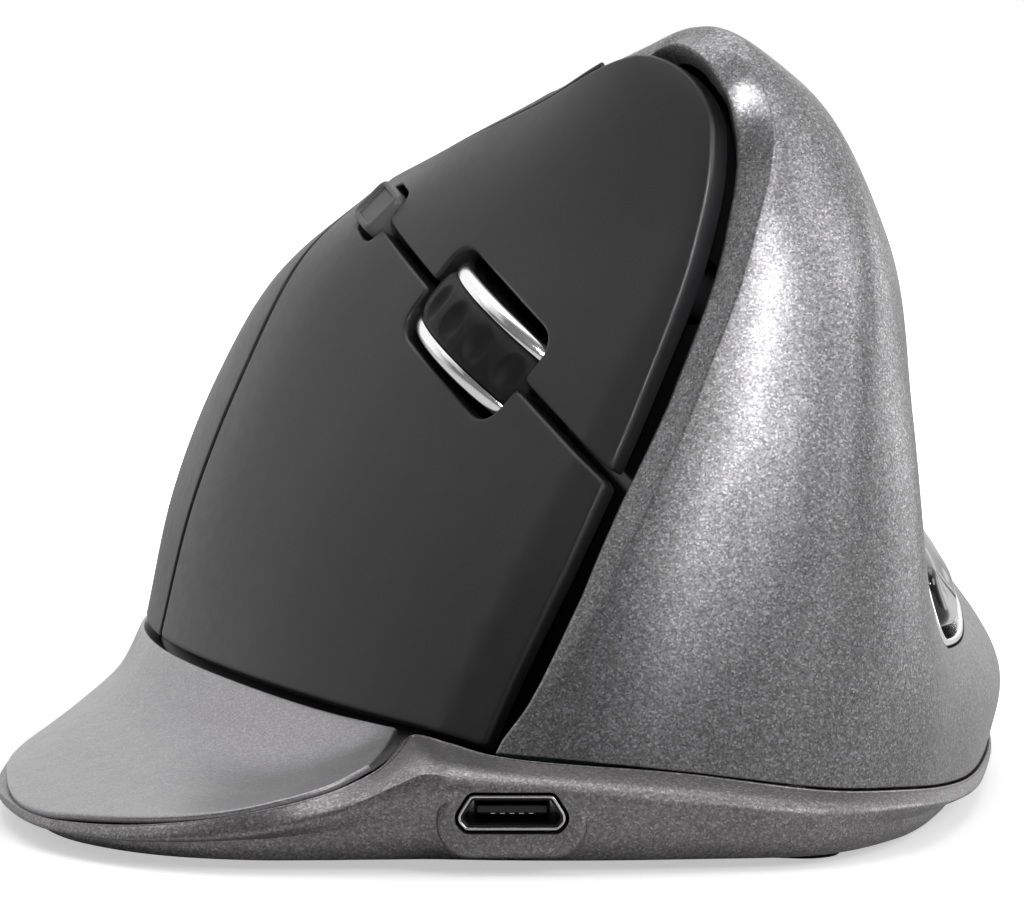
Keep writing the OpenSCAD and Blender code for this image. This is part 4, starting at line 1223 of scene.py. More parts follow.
def sweep(name: str, line: Array, radius: float, finish: Finish) -> bpy.types.Object:
    """Sweeps a round bead along a line with Geometry Nodes and makes one mesh of it.

    Args:
        name: name of the piece.
        line: points along it, in millimetres.
        radius: radius of the bead, in millimetres.
        finish: finish of the result.

    Returns:
        The piece.
    """
    data = bpy.data.meshes.new(name)
    data.from_pydata((line * MM).tolist(), [(k, k + 1) for k in range(len(line) - 1)], [])
    obj = run_tree(name, data, sweep_tree(), Radius=radius * MM, Finish=finish.material())
    smooth(obj, 60)
    return obj


# Sub-assemblies


@dataclass
class FingerPanel:
    """Primary and secondary button, and the grip panel behind them, cut from one skin."""

    plate: float = 1.8
    grip_plate: float = 2.7
    split: float = 0.8
    seam: float = 0.2
    fillet: float = 0.32
    spacing: float = 1.1
    step: float = 0.32
    steepest: float = 0.45
    button_reach: tuple = (0, 4.4, 0.01)
    grip_reach: tuple = (2, 6.86, 0.04)
    wheel_hole: tuple = (14.4, 8.2, 1.8)
    dpi_hole: tuple = (4.8, 4.8, 0.9)
    hinge: tuple = (-13.0, -11.0)
    lug_half: float = 1.7
    lug_foot: float = 1.1
    eye: tuple = (1.8, 1.08)
    primary_lugs: tuple = ((0.8, 3.3), (6.6, 8.6))
    secondary_lugs: tuple = ((-26, -23), (-9.6, -7.4))
    nub_a: float = 11.5
    nub_radius: float = 1.6
    nub_tip: float = -5.05
    primary_nub: float = 13
    secondary_nub: float = -16
    margin: tuple = ((-26, -18, -5, 6, 17), (4.0, 3.65, 3.3, 2.3, 1.0))
    margin_fall: float = 0.22
    # dark bead along the ridge: painted shade for the shadowed gap at the panel's upper edge
    bead: float = 0.22
    bead_down: float = 0.45
    bead_out: float = 0.3
    bead_span: tuple = (1.4, 4.2)
    rim: float = 0.35
    rim_slope: float = 4.0
    full_plate: tuple = (4.2, 0.8)

    def __post_init__(self) -> None:
        """Lays out the seams in the plane of the panel."""
        self.front = curve([[29.5, -26], [25.6, -18.6], [21, -5.6], [16.3, 6], [11.5, 16.6], [8.4, 21.4],
                            [6, 23.65], [3.2, 24.5], [0.8, 24.45], [-2.1, 23.6]], 6)
        self.rear = curve([[-11, -44], [-15.2, -36], [-19.8, -26], [-24, -15], [-27, -6], [-28.3, -0.3]], 6)
        line = even(np.concatenate([self.front, self.front[::-1]]), 0.4, 0)
        line = line[: len(line) // 2]
        ahead = unit(np.gradient(line, axis=0))
        wide = np.interp(line[:, 1], *self.margin)[:, None]
        across = np.stack([-ahead[:, 1], ahead[:, 0]], axis=1)
        self.crease = (line + wide * across)[line[:, 1] < self.margin[0][-1]]
        self.behind_front = np.concatenate([self.front, [[-10, 30], [-90, 30], [-90, -70], [29.5, -70]]])
        flat = soft_rect(*self.dpi_hole)
        u, v = FINGER.seek(DPI, flat)
        self.dpi_loop = PANEL.local(FINGER.at(u, v))[:, :2]
        self.wheel_loop = soft_rect(*self.wheel_hole)

    def skin_loop(self, u0: float, u1: float, v0: float) -> Array:
        """Edge of the skin, from the ridge to the pinky rest, as seen square on.

        Args:
            u0: start along the ridge.
            u1: end along the ridge.
            v0: start below the ridge.

        Returns:
            Points of the edge in the panel's plane.
        """
        us, vs = np.linspace(u0, u1, 120), np.linspace(v0, 4, 60)
        u = np.concatenate([us, np.full(60, u1), us[::-1], np.full(60, u0)])
        v = np.concatenate([np.full(120, v0), vs, np.full(120, 4.0), vs[::-1]])
        loop = PANEL.local(FINGER.at(u, v))[:, :2]
        keep = np.linalg.norm(np.roll(loop, -1, axis=0) - loop, axis=1) > 1e-6
        return loop[keep]

    def fall(self, ab: Array) -> Array:
        """How far the front margin lies below the skin."""
        gap = edge_gap([np.concatenate([self.front, self.front[::-1]])], ab)
        return self.margin_fall * np.maximum(np.interp(ab[:, 1], *self.margin) - gap, 0)

    def skin(self, ab: Array, deep: float) -> Array:
        """The finger skin moved in, less where the plate runs out to a thin rim.

        Args:
            ab: points in the panel's plane.
            deep: how far in.

        Returns:
            One point for each.
        """
        u, v = FINGER.seek(PANEL, ab)
        slant = np.maximum(FINGER.normal(u, v) @ PANEL.n, self.steepest)
        start, run = self.full_plate
        thin = self.rim + self.rim_slope * np.minimum(v, 7 - u) + 2 * (1 - ease((u - start) / run))
        return FINGER.at(u, v) - (np.minimum(deep, thin) / slant)[:, None] * PANEL.n

    def cover(self, loops: Sequence[Array], thick: float) -> Shape:
        """A plate of the skin over outlines."""
        soft = [even(loop, self.step) for loop in loops]
        return over_plane(soft, self.fillet, self.spacing,
                          lambda ab: self.skin(ab, 0.0) - self.fall(ab)[:, None] * PANEL.n,
                          lambda ab: self.skin(ab, thick), PANEL.n, self.crease)

    def lugs(self, shape: Shape, spans: Sequence[tuple], nub_b: float) -> None:
        """Hinge lugs and the nub over the switch, behind a button.

        Args:
            shape: the button's shape.
            spans: where each lug starts and ends.
            nub_b: where the nub stands.
        """
        a, c = self.hinge
        for low, high in spans:
            b = (low + high) / 2
            u, v = FINGER.seek(PANEL, np.array([[a, b]]))
            top = PANEL.local(FINGER.at(u, v))[0, 2] - self.plate / 2
            block((a - self.lug_half, a + self.lug_half), (low, high), (c + self.lug_foot, top), PANEL, shape)
            eyelet(Plane(PANEL.world(a, low, c), PANEL.a, -PANEL.n, PANEL.b), *self.eye, high - low, shape)
        u, v = FINGER.seek(PANEL, np.array([[self.nub_a, nub_b]]))
        top = PANEL.local(FINGER.at(u, v))[0, 2] - self.plate / 2
        prism(circle(self.nub_radius) + [self.nub_a, nub_b], self.nub_tip, top, PANEL, shape=shape)

    def build(self) -> None:
        """Makes the three plates."""
        half = self.split / 2
        button_skin = self.skin_loop(*self.button_reach)
        above = np.array([[-26.4, half], [60, half], [60, 60], [-40, 60], [-40, 12], [-26.4, 12]])
        holes = [self.wheel_loop, self.dpi_loop]
        primary = self.cover(area_loops([button_skin, self.behind_front, above], holes), self.plate)
        self.lugs(primary, self.primary_lugs, self.primary_nub)
        settle(primary.mesh("primary_cover", 50), Finish.SATIN, "primary", "panel_black", "primary_button")
        ahead = np.concatenate([self.rear + [self.seam, 0], [[-40, -0.3], [-40, 60], [60, 60],
                                                             [60, -60], [-11, -60]]])
        below = np.array([[-90, -90], [90, -90], [90, -half], [-90, -half]])
        loops = area_loops([button_skin, self.behind_front, ahead, below], holes)
        secondary = self.cover(loops, self.plate)
        self.lugs(secondary, self.secondary_lugs, self.secondary_nub)
        settle(secondary.mesh("secondary_cover", 50), Finish.SATIN, "secondary", "panel_black",
               "secondary_button")
        grip_skin = self.skin_loop(*self.grip_reach)
        behind = np.concatenate([self.rear - [self.seam, 0], [[-27.8, half], [-28.6, 30], [-90, 30],
                                                              [-90, -70], [-11.2, -70]]])
        grip = self.cover(area_loops([grip_skin, behind]), self.grip_plate)
        settle(grip.mesh("grip_cover", 50), Finish.SATIN, "chassis", "panel_black", "grip_panel")
        self.ridge_bead()

    def ridge_bead(self) -> None:
        """Makes a thin dark bead along the panel's upper edge, painted shade for the shadowed gap between the
        panel and the shell.
        """
        u, v = np.linspace(*self.bead_span, 90), np.zeros(90)
        side = unit(np.cross(FINGER.normal(u, v), np.gradient(FINGER.at(u, v), axis=0)))
        side = side * np.sign((side * (FINGER.at(u, v) - FINGER.at(u, v + 0.1))).sum(1))[:, None]
        line = FINGER.at(u, v) - self.bead_down * FINGER.normal(u, v) + self.bead_out * side
        # painted shade: a black tube where the gap along the ridge is only in shadow
        settle(sweep("ridge_bead", line, self.bead, Finish.DARK), Finish.DARK, "chassis", "frame_black")


@dataclass
class Leaf:
    """Leaf-shaped opening in the thumb side, with its bezel and two keys."""

    long: float = 38.0
    high: float = 7.8
    end: float = 3.8
    corner: float = 1.4
    bezel_out: float = 1.4
    bezel_in: float = 0.9
    hole: float = 1.6
    bezel_proud: float = 0.15
    key_proud: float = 0.9
    key_gap: float = 0.3
    pin: tuple = (5.6, -6.2)
    deep: float = 2.2
    arms: tuple = ((4.2, 2.6), (12.7, 1.5))
    arm_half: float = 0.9
    arm_down: float = 1.4
    arm_up: float = 1.2
    eye: tuple = (1.7, 0.97)
    nub: tuple = (8.5, -0.4)
    nub_radius: float = 1.4
    nub_tip: float = -4.35
    sink: float = 1.2

    def outline(self, grow: float, steps: int = 60) -> Array:
        """The leaf, grown outwards.

        Args:
            grow: how far out.
            steps: points on each long side.

        Returns:
            Points of the outline.
        """
        rise, c = (self.high - self.end) / 2, self.corner
        r = ((self.long / 2) ** 2 + rise**2) / (2 * rise)
        x = self.long / 2 - c
        half = math.asin(x / (r - c))
        y = math.sqrt((r - c) ** 2 - x**2) - (r - self.high / 2)
        arc = np.linspace(-half, half, steps)
        low = np.stack([(r + grow) * np.sin(arc), r - self.high / 2 - (r + grow) * np.cos(arc)], axis=1)
        turn = np.linspace(half - math.pi / 2, 0, 10)[1:]
        tip = np.stack([x + (c + grow) * np.cos(turn), (c + grow) * np.sin(turn) - y], axis=1)
        right = np.concatenate([low, tip, tip[::-1] * [1, -1]])
        return np.concatenate([right, -right])

    def skin(self, ab: Array, down: float) -> Array:
        """The thumb skin over points of the leaf's plane, moved down.

        Args:
            ab: points in the leaf's plane.
            down: how far in.

        Returns:
            One point for each.
        """
        u, v = THUMB.seek(THUMBPAD, ab)
        slant = np.maximum(THUMB.normal(u, v) @ THUMBPAD.n, 0.5)
        return THUMB.at(u, v) - (down / slant)[:, None] * THUMBPAD.n

    def cutter(self) -> bpy.types.Object:
        """The solid that opens the shell."""
        return prism(even(self.outline(self.hole), 0.4, 0), -9, 5, THUMBPAD).mesh("leaf_cut")

    def build(self) -> None:
        """Makes the bezel and the keys."""
        loops = [even(self.outline(self.bezel_out), 0.25), even(self.outline(self.bezel_in), 0.25)[::-1]]
        bezel = over_plane(loops, 0.22, 0.5, lambda ab: self.skin(ab, -self.bezel_proud),
                           lambda ab: self.skin(ab, 2.0), THUMBPAD.n)
        settle(bezel.mesh("thumb_trim", 50), Finish.CHROME, "chassis", "bright_trim", "thumb_bezel")
        for side, name in ((-1, "forward"), (1, "back")):
            gate = np.array([[self.key_gap, -20], [60, -20], [60, 20], [self.key_gap, 20]]) * [side, 1]
            loop = area_loops([self.outline(0), gate[::side]])
            key = over_plane([even(c, 0.25) for c in loop], 0.7, 0.6,
                             lambda ab: self.skin(ab, -self.key_proud),
                             lambda ab: self.skin(ab, self.deep), THUMBPAD.n)
            self.lugs(key, side)
            settle(key.mesh(name + "_key", 50), Finish.KEY, name, "key_black", name + "_button")

    def lugs(self, shape: Shape, side: int) -> None:
        """Hinge arms and the nub behind a key.

        Args:
            shape: the key's shape.
            side: -1 for the front key, 1 for the rear one.
        """
        b, c = self.pin
        for a, post in self.arms:
            low, high = side * a - self.arm_half, side * a + self.arm_half
            top = THUMBPAD.local(self.skin(np.array([[side * a, self.arm_up]]), self.sink))[0, 2]
            block((low, high), (0, post), (c - self.arm_down, top), THUMBPAD, shape)
            block((low, high), (1, b - self.arm_up), (c - self.arm_down, c + self.arm_up), THUMBPAD, shape)
            eye = Plane(THUMBPAD.world(low, b, c), THUMBPAD.b, THUMBPAD.n, THUMBPAD.a)
            eyelet(eye, *self.eye, 2 * self.arm_half, shape)
        a, b = side * self.nub[0], self.nub[1]
        top = THUMBPAD.local(self.skin(np.array([[a, b]]), self.sink))[0, 2]
        prism(circle(self.nub_radius) + [a, b], self.nub_tip, top, THUMBPAD, shape=shape)


@dataclass
class OuterSkins:
    """Painted side shell and the pinky rest."""

    wall: float = 1.8
    rest_wall: float = 1.4
    rest_edge: float = 0.45
    round_edge: float = 0.3
    seam_edge: float = 0.1
    crease: tuple = ((1.2, 1.8, 2.4, 3, 4, 5, 6), (0.5, 0.8, 0.92, 0.95, 0.88, 0.98, 0.95))
    turned_in: tuple = ((1.0, 1.8, 3, 4, 4.7, 5.3, 5.8), (0, 0.9, 1.6, 1.7, 1.4, 0.6, 0))
    edge_back: tuple = ((0.3, 1.2, 1.8, 2.4, 3, 3.5, 4.2, 4.8), (0, 0.2, 0.28, 0.22, 0.26, 0.18, 0.08, 0))
    lip: float = 0.3
    lip_high: tuple = ((4.2, 5, 6, 6.6), (0, 1, 1, 0))
    lip_wide: tuple = ((1, 1.06, 1.2, 3), (0, 1, 1, 0))
    ridge: float = 1.3
    ridge_start: tuple = (1.2, 2.0)
    ridge_end: tuple = (3.6, 1.1)
    hood_corner: tuple = (1, 6)
    # dark sheet behind the seam to the rest: painted shade for the shadowed gap
    shade_sheet_wall: float = 0.25
    shade_sheet_down: float = 4.55
    rest_round: float = 0.2
    leaf: Leaf = field(default_factory=Leaf)

    def sunk(self, u: Array, v: Array) -> Array:
        """How far the paint lies below the net: the strip along the front edge, the hood's lip and the ridge.

        Args:
            u: places along the net.
            v: places up it.

        Returns:
            One depth for each pair.
        """
        strip = np.interp(v, *self.turned_in) * np.clip(1 - u / np.interp(v, *self.crease), 0, 1)
        lip = self.lip * np.interp(v, *self.lip_high) * np.interp(u, *self.lip_wide)
        return strip + lip + self.ridge * self.beside(u) * ease((v - 6.0) / 0.7)

    def beside(self, u: Array) -> Array:
        """Share of the ridge's sink at places along the panel's upper edge."""
        (start, rise), (end, fall) = self.ridge_start, self.ridge_end
        return ease((u - start) / rise) * (1 - ease((u - end) / fall))

    def shell_grid(self) -> tuple[Array, Array]:
        """Points and normals of the painted skin.

        Returns:
            Points and normals, shaped (v, u, axes).
        """
        u, v = np.meshgrid(np.linspace(0, 12, 260), np.linspace(0, 7, 150))
        corner_u, corner_v = self.hood_corner
        left, up = corner_u - u, v - corner_v
        far, round_far = np.maximum(left, up), np.hypot(left, up)
        share = np.where((left > 0) & (up > 0), far / np.maximum(round_far, 1e-9), 1)
        u, v = np.where(share < 1, corner_u - left * share, u), np.where(share < 1, corner_v + up * share, v)
        u = u + np.interp(v, *self.edge_back) * np.clip(1 - u / 1.5, 0, 1)
        v = v - 0.1 * self.beside(u) * ease((v - 6.2) / 0.8)
        p, n = THUMB.at(u.ravel(), v.ravel()), THUMB.normal(u.ravel(), np.minimum(v, 6.7).ravel())
        p = (p - n * self.sunk(u, v).reshape(-1, 1)).reshape(*u.shape, 3)
        near = np.clip(np.arange(u.shape[1])[:, None] + np.arange(-9, 10), 0, u.shape[1] - 1)
        return p, unit(n.reshape(*u.shape, 3)[:, near].mean(2))

    def shade_sheet(self) -> Shape:
        """A dark sheet behind the seam between the finger panel and the rest, painted shade that keeps the
        shadowed gap black.

        Returns:
            The closed shape.
        """
        t = np.linspace(0, 8, 120)
        u = np.interp(t, [0, 1, 2, 8], [0.38, 0.68, 1, 6.9])
        high, low = np.full(120, 3.7), np.full(120, 0.35)
        one_side = FINGER.at(u, high) - self.shade_sheet_down * FINGER.normal(u, high)
        other = REST.at(t, low) - (self.rest_wall + 0.2) * REST.normal(t, low)
        rows = np.stack([one_side + (other - one_side) * k for k in np.linspace(0, 1, 6)])
        across = unit(np.cross(rows[-1] - rows[0], np.gradient(rows[0], axis=0)))
        n = np.repeat(across[None], 6, axis=0)
        return thick_grid(rows, n, np.zeros((6, 120)), np.full((6, 120), self.shade_sheet_wall))

    def build(self) -> None:
        """Makes both skins and the dark sheet of painted shade behind their seam."""
        p, n = self.shell_grid()
        p, n, depth = rounded_grid(p, n, {"b": self.seam_edge, "t": self.round_edge, "l": self.round_edge,
                                          "r": self.round_edge})
        shell = thick_grid(p, n, depth, np.full(depth.shape, self.wall)).mesh("shell_skin", 50)
        carve(shell, [(self.leaf.cutter(), "DIFFERENCE")], 50)
        settle(shell, Finish.SHELL, "chassis", "shell_paint", "side_shell")
        # painted shade: a dark sheet behind the seam so the gap reads black
        settle(self.shade_sheet().mesh("seam_skirt"), Finish.DARK, "chassis", "frame_black")
        p, n = REST.grid(np.linspace(0, 8, 170), np.linspace(0, 3, 60))
        p, n, depth = rounded_grid(p, n, dict.fromkeys("btlr", self.rest_round))
        rows, cols = depth.shape
        under = np.repeat(np.linspace(self.rest_wall, self.rest_edge, rows)[:, None], cols, axis=1)
        rest = thick_grid(p, n, depth, under).mesh("rest_skin", 50)
        settle(rest, Finish.REST, "chassis", "rest_paint", "pinky_rest")


@dataclass
class Base:
    """Dark tray with the socket boss, its screws, feet and the openings under it."""

    foot: float = 0.6
    floor: float = 1.8
    screws: tuple = ((-8.4, -31), (-15.6, -19), (-22, 13), (27.5, 20), (17, 37))
    sensor: tuple = (12, -14)
    power: tuple = (16, -30)
    feet: tuple = ((-20, -34, 38), (15, -41.6, -12), (-15, 31, -40), (17, 29, 35))
    seam_gap: float = 0.08
    turn_in: float = 3.0
    turn_up: float = 3.6
    turn_least: float = 0.35
    turn_front: tuple = (30, 14)
    turn_share: float = 0.45
    edge: float = 0.1
    rim_in: float = 1.7
    rim_down: float = 1.3
    floor_in: float = 2.6
    pad: tuple = (10.3, 5.0, 2.3)
    pad_lean: float = -7.0
    screw_hole: float = 1.15
    screw_recess: tuple = (2.1, 0.7)
    sensor_hole: tuple = (8, 6, 1.5)
    power_hole: tuple = (5.4, 2.4, 0.6)
    foot_size: tuple = (16, 5.5, 2.6)
    per_span: int = 12

    def ring(self, points: Sequence) -> Array:
        """A smooth closed line round the base."""
        return curve(np.array(points, float) + [0, MIDDLE_Y, 0], self.per_span, True)

    @staticmethod
    def level(ring: Array, distance: float | Array, z: float | Array | None = None, lift: float = 0) -> Array:
        """A ring moved inwards in plan, and set to a height or lifted.

        Args:
            ring: the ring.
            distance: how far in.
            z: height, where it is set.
            lift: how far up, where it isn't.

        Returns:
            The new ring.
        """
        flat = ring[:, :2] + (inset(ring[:, :2], 1) - ring[:, :2]) * np.asarray(distance)[..., None]
        height = ring[:, 2] + lift if z is None else np.full(len(ring), z)
        return np.concatenate([flat, height[:, None]], axis=1)

    def tray(self) -> bpy.types.Object:
        """The tray, with its openings.

        Returns:
            The object.
        """
        seam, belly, keel = (self.ring(r) for r in (SEAM, BELLY, KEEL))
        top = self.level(seam, 0, lift=-self.seam_gap)
        start, run = self.turn_front
        share = self.turn_least + (1 - self.turn_least) * ease((-keel[:, 1] - start) / run)
        rise = np.minimum(self.turn_up * share, self.turn_share * (top[:, 2] - self.foot))
        turn = self.turn_in / self.turn_up * rise
        low = self.level(keel, 0, self.foot + rise)
        rings = [self.level(keel, turn * (1 - math.sin(a)), self.foot + rise * (1 - math.cos(a)))
                 for a in np.radians([0, 18, 36, 54, 72])]
        side = np.stack([low, belly, top])
        rings += [along(side, np.full(len(top), t)) for t in np.linspace(0, 2, 15)[:-1]]
        rings += [self.level(top, self.edge * (1 - math.cos(a)), lift=self.edge * (math.sin(a) - 1))
                  for a in np.radians([0, 45, 90])]
        rim = self.level(top, self.rim_in)
        rim[:, 2] = np.maximum(self.floor + 0.05, rim[:, 2] - self.rim_down)
        rings += [rim, self.level(keel, self.floor_in, self.floor)]
        tray = tube(rings).mesh("tray_skin")
        tools = [(self.socket_pad(), "UNION")]
        tools += [(cut.mesh("cut"), "DIFFERENCE") for cut in self.openings()]
        carve(tray, tools, 38)
        return tray

    def socket_pad(self) -> bpy.types.Object:
        """The raised pad around the cable socket.

        Returns:
            The object.
        """
        y, z = SOCKET_PLACE
        lean = math.radians(self.pad_lean)
        out = np.array([0, -math.cos(lean), -math.sin(lean)])
        up = np.array([0, -math.sin(lean), math.cos(lean)])
        front = Plane(np.array([0, y - 0.08, z - 0.55]), np.array([1.0, 0, 0]), up, out)
        return prism(even(soft_rect(*self.pad), 0.2, 0), -2, 0, front, 0.5).mesh("pad")

    def openings(self) -> list[Shape]:
        """Cuts for the socket, the screws, the sensor and the power knob.

        Returns:
            The cutting shapes.
        """
        y, z = SOCKET_PLACE
        socket = Socket()
        cuts = [prism(socket.outline(2 * socket.wall), -9, 5, socket.face()),
                block((-4.2, 4.2), (y + 1.6, y + 9), (self.floor + 0.2, z + 1.4))]
        recess, deep = self.screw_recess
        for place in self.screws:
            cuts.append(prism(circle(self.screw_hole) + place, -1, self.floor + 1, WORLD))
            cuts.append(prism(circle(recess) + place, -1.1, self.foot + deep, WORLD))
        cuts.append(prism(soft_rect(*self.sensor_hole) + self.sensor, -1, self.floor + 2, WORLD))
        cuts.append(prism(soft_rect(*self.power_hole) + self.power, -1, self.floor + 2, WORLD))
        return cuts

    def screw(self) -> bpy.types.Object:
        """One screw, head down, with a cross recess.

        Returns:
            The object.
        """
        head = [circle(r) for r in (1.2, 1.72, 1.9, 1.9, 0.9, 0.9, 0.3)]
        heights = (0.08, 0.12, 0.3, 0.68, 0.7, 6.2, 6.5)
        rings = [np.concatenate([c, np.full((40, 1), h)], axis=1) for c, h in zip(head, heights)]
        obj = tube(rings).mesh("screw")
        bars = [block((-1.1, 1.1), (-0.25, 0.25), (-0.5, 0.42)).mesh("bar"),
                block((-0.25, 0.25), (-1.1, 1.1), (-0.5, 0.43)).mesh("bar")]
        carve(obj, [(bar, "DIFFERENCE") for bar in bars], 35)
        return obj

    def foot_pad(self) -> bpy.types.Object:
        """One glide foot with a softened lower edge."""
        flip = Plane(np.array([0, 0, self.foot]), WORLD.a, -WORLD.b, -WORLD.n)
        return prism(soft_rect(*self.foot_size, 14), 0, self.foot, flip, 0.2).mesh("foot")

    def build(self) -> None:
        """Makes the tray, its screws and feet."""
        settle(self.tray(), Finish.BASE, "chassis", "base_plastic", "base_tray")
        places = [(x, y, self.foot) for x, y in self.screws]
        turns = [(0, 0, 0.4 * k) for k in range(len(places))]
        screws = scatter("screw_set", self.screw(), places, turns, Finish.STEEL, sharp=35)
        settle(screws, Finish.STEEL, "chassis", "steel", "base_screws")
        pads = scatter("foot_set", self.foot_pad(), [(x, y, 0) for x, y, _ in self.feet],
                       [(0, 0, math.radians(t)) for _, _, t in self.feet], Finish.GLIDE)
        settle(pads, Finish.GLIDE, "chassis", "glide", "glide_feet")


@dataclass
class Socket:
    """Cable socket: folded metal shell, tongue and its five contacts."""

    deep: float = 6.0
    wall: float = 0.22
    pitch: float = 0.65

    def outline(self, grow: float) -> Array:
        """Mouth of the socket, narrow side up."""
        pts = [[-3.05, -1], [3.05, -1], [3.45, -0.55], [3.45, -0.2],
               [2.7, 1], [-2.7, 1], [-3.45, -0.2], [-3.45, -0.55]]
        return inset(even(np.array(pts), 0.12, 1), -grow)

    def face(self) -> Plane:
        """Frame at the mouth, facing out."""
        y, z = SOCKET_PLACE
        return Plane(np.array([0, y, z]), WORLD.a, WORLD.n, -WORLD.b)

    def rings(self, path: Sequence[tuple[float, float]]) -> list[Array]:
        """The mouth's outline at pairs of growth and depth."""
        return [self.face().world(*self.outline(d).T, np.full(len(self.outline(d)), c)) for d, c in path]

    def build(self) -> None:
        """Makes the shell, the liner with its tongue, and the contacts."""
        face = self.face()
        turns = np.radians([0, 30, 60, 90, 120, 150, 180])
        half = self.wall / 2
        fold = [(half + half * math.cos(t), -half + half * math.sin(t)) for t in turns]
        path = [(self.wall, -self.deep)] + fold + [(0.0, -self.deep + 0.4)]
        shell = tube(self.rings(path)).mesh("socket_shell", 40)
        settle(shell, Finish.SOCKET, "chassis", "steel", "usb_shell")
        tongue = prism(soft_rect(4.8, 0.55, 0.12, 4) + [0, 0.175], -4.4, -0.7, face, 0.1)
        prism(soft_rect(5.2, 1.6, 0.2, 4), -5.55, -4.4, face, shape=tongue)
        liner = [(-0.02, -5.5), (-0.02, -0.25), (-0.14, -0.18), (-0.14, -5.5), (-0.02, -5.5)]
        tube(self.rings(liner), tongue, ends=False)
        settle(tongue.mesh("socket_tongue", 40), Finish.DARK, "chassis", "switch_black", "usb_tongue")
        pin = prism(soft_rect(0.36, 0.1, 0.04, 3), -3.5, 0, WORLD, 0.04).mesh("pin")
        places = [(x * self.pitch, -0.13, -0.8) for x in range(-2, 3)]
        pins = scatter("socket_pins", pin, places, [(0, 0, 0)] * len(places), Finish.SOCKET, face)
        settle(pins, Finish.SOCKET, "chassis", "steel")


@dataclass
class Wheel:
    """Scroll wheel: ribbed tyre between two bright rims."""

    radius: float = 10.2
    width: float = 4.0
    hub: float = 7.4
    depth: float = 8.0
    dimples: int = 20
    dimple: tuple = (1.05, 1.5, 0.5)

    def axle(self) -> Plane:
        """Frame with its last direction along the axle."""
        return Plane(PANEL.world(0, 0, -self.depth), PANEL.a, -PANEL.n, PANEL.b)

    def sector(self) -> bpy.types.Object:
        """One step of the tread, with a dimple at the middle of it.

        Returns:
            The object.
        """
        pitch = 2 * math.pi / self.dimples
        cols, rows = 18, 16
        across = np.linspace(-1, 1, rows) * self.width / 2
        crown = self.radius - 0.5 * np.abs(across / (self.width / 2)) ** 3.2
        rings = []
        for t in np.linspace(-pitch / 2, pitch / 2, cols + 1):
            e = (t * self.radius / self.dimple[0]) ** 2 + (across / self.dimple[1]) ** 2
            r = crown - self.dimple[2] * np.clip(1.15 * (1 - e), 0, 1) ** 0.75
            r = np.concatenate([[self.hub], r, [self.hub]])
            w = np.concatenate([[-self.width / 2], across, [self.width / 2]])
            rings.append(np.stack([r * math.cos(t), r * math.sin(t), w], axis=1))
        faces = [f[::-1] for f in strips(cols + 1, rows + 2)]
        return Shape().add(np.concatenate(rings), faces).mesh("sector")

    def rim(self, side: int) -> Array:
        """Section of one rim.

        Args:
            side: -1 or 1, the side of the tyre.

        Returns:
            Pairs of radius and place along the axle.
        """
        r, w = self.radius, self.width / 2 + 0.05
        part = [(self.hub, 0), (r - 0.55, 0), (r - 0.42, 0.06), (r - 0.36, 0.2), (r - 0.38, 0.45),
                (r - 0.46, 0.7), (r - 0.6, 0.95), (r - 0.8, 1.1), (r - 1.1, 1.15), (self.hub, 1.15)]
        return np.array([(a, side * (w + b)) for a, b in part])

    def build(self) -> None:
        """Makes the tyre and the rims."""
        axle = self.axle()
        turns = [(0, 0, k * 2 * math.pi / self.dimples) for k in range(self.dimples)]
        tyre = scatter("tyre_tread", self.sector(), [(0, 0, 0)] * self.dimples, turns, Finish.TYRE, axle,
                       2e-6, 60)
        settle(tyre, Finish.TYRE, "wheel", "tyre_rubber", "wheel_tyre")
        shape = Shape()
        for side in (-1, 1):
            part = self.rim(side)
            angles = np.arange(96) * 2 * math.pi / 96
            rings = [axle.world(r * np.cos(angles), r * np.sin(angles), np.full(96, w)) for r, w in part]
            rings = rings + rings[:1]
            tube(rings if side > 0 else rings[::-1], shape, ends=False)
        rims = shape.mesh("wheel_trim", 40)
        settle(rims, Finish.CHROME, "wheel", "bright_trim", "wheel_rims")


@dataclass
class SensitivityButton:
    """Small square button behind the wheel, a rim round a shallow dish."""

    side: float = 4.0
    lean: float = 0.16
    corner: float = 0.8

    def build(self) -> None:
        """Makes the cap with its collar."""
        flat = even(soft_rect(self.side, self.side - 0.2, self.corner), 0.2, 1)
        rise = ((0, -3.35), (0, 0.42), (0.08, 0.58), (0.24, 0.68), (0.42, 0.68), (0.56, 0.58), (0.62, 0.4))
        cap = tube([DPI.world(*inset(flat, d).T, c - self.lean * inset(flat, d)[:, 0]) for d, c in rise])
        prism(soft_rect(self.side + 1.5, self.side + 1.3, self.corner), -3.2, -2.6, DPI, shape=cap)
        settle(cap.mesh("dpi_cap", 40), Finish.BUTTON, "dpi", "button_grey", "dpi_button")


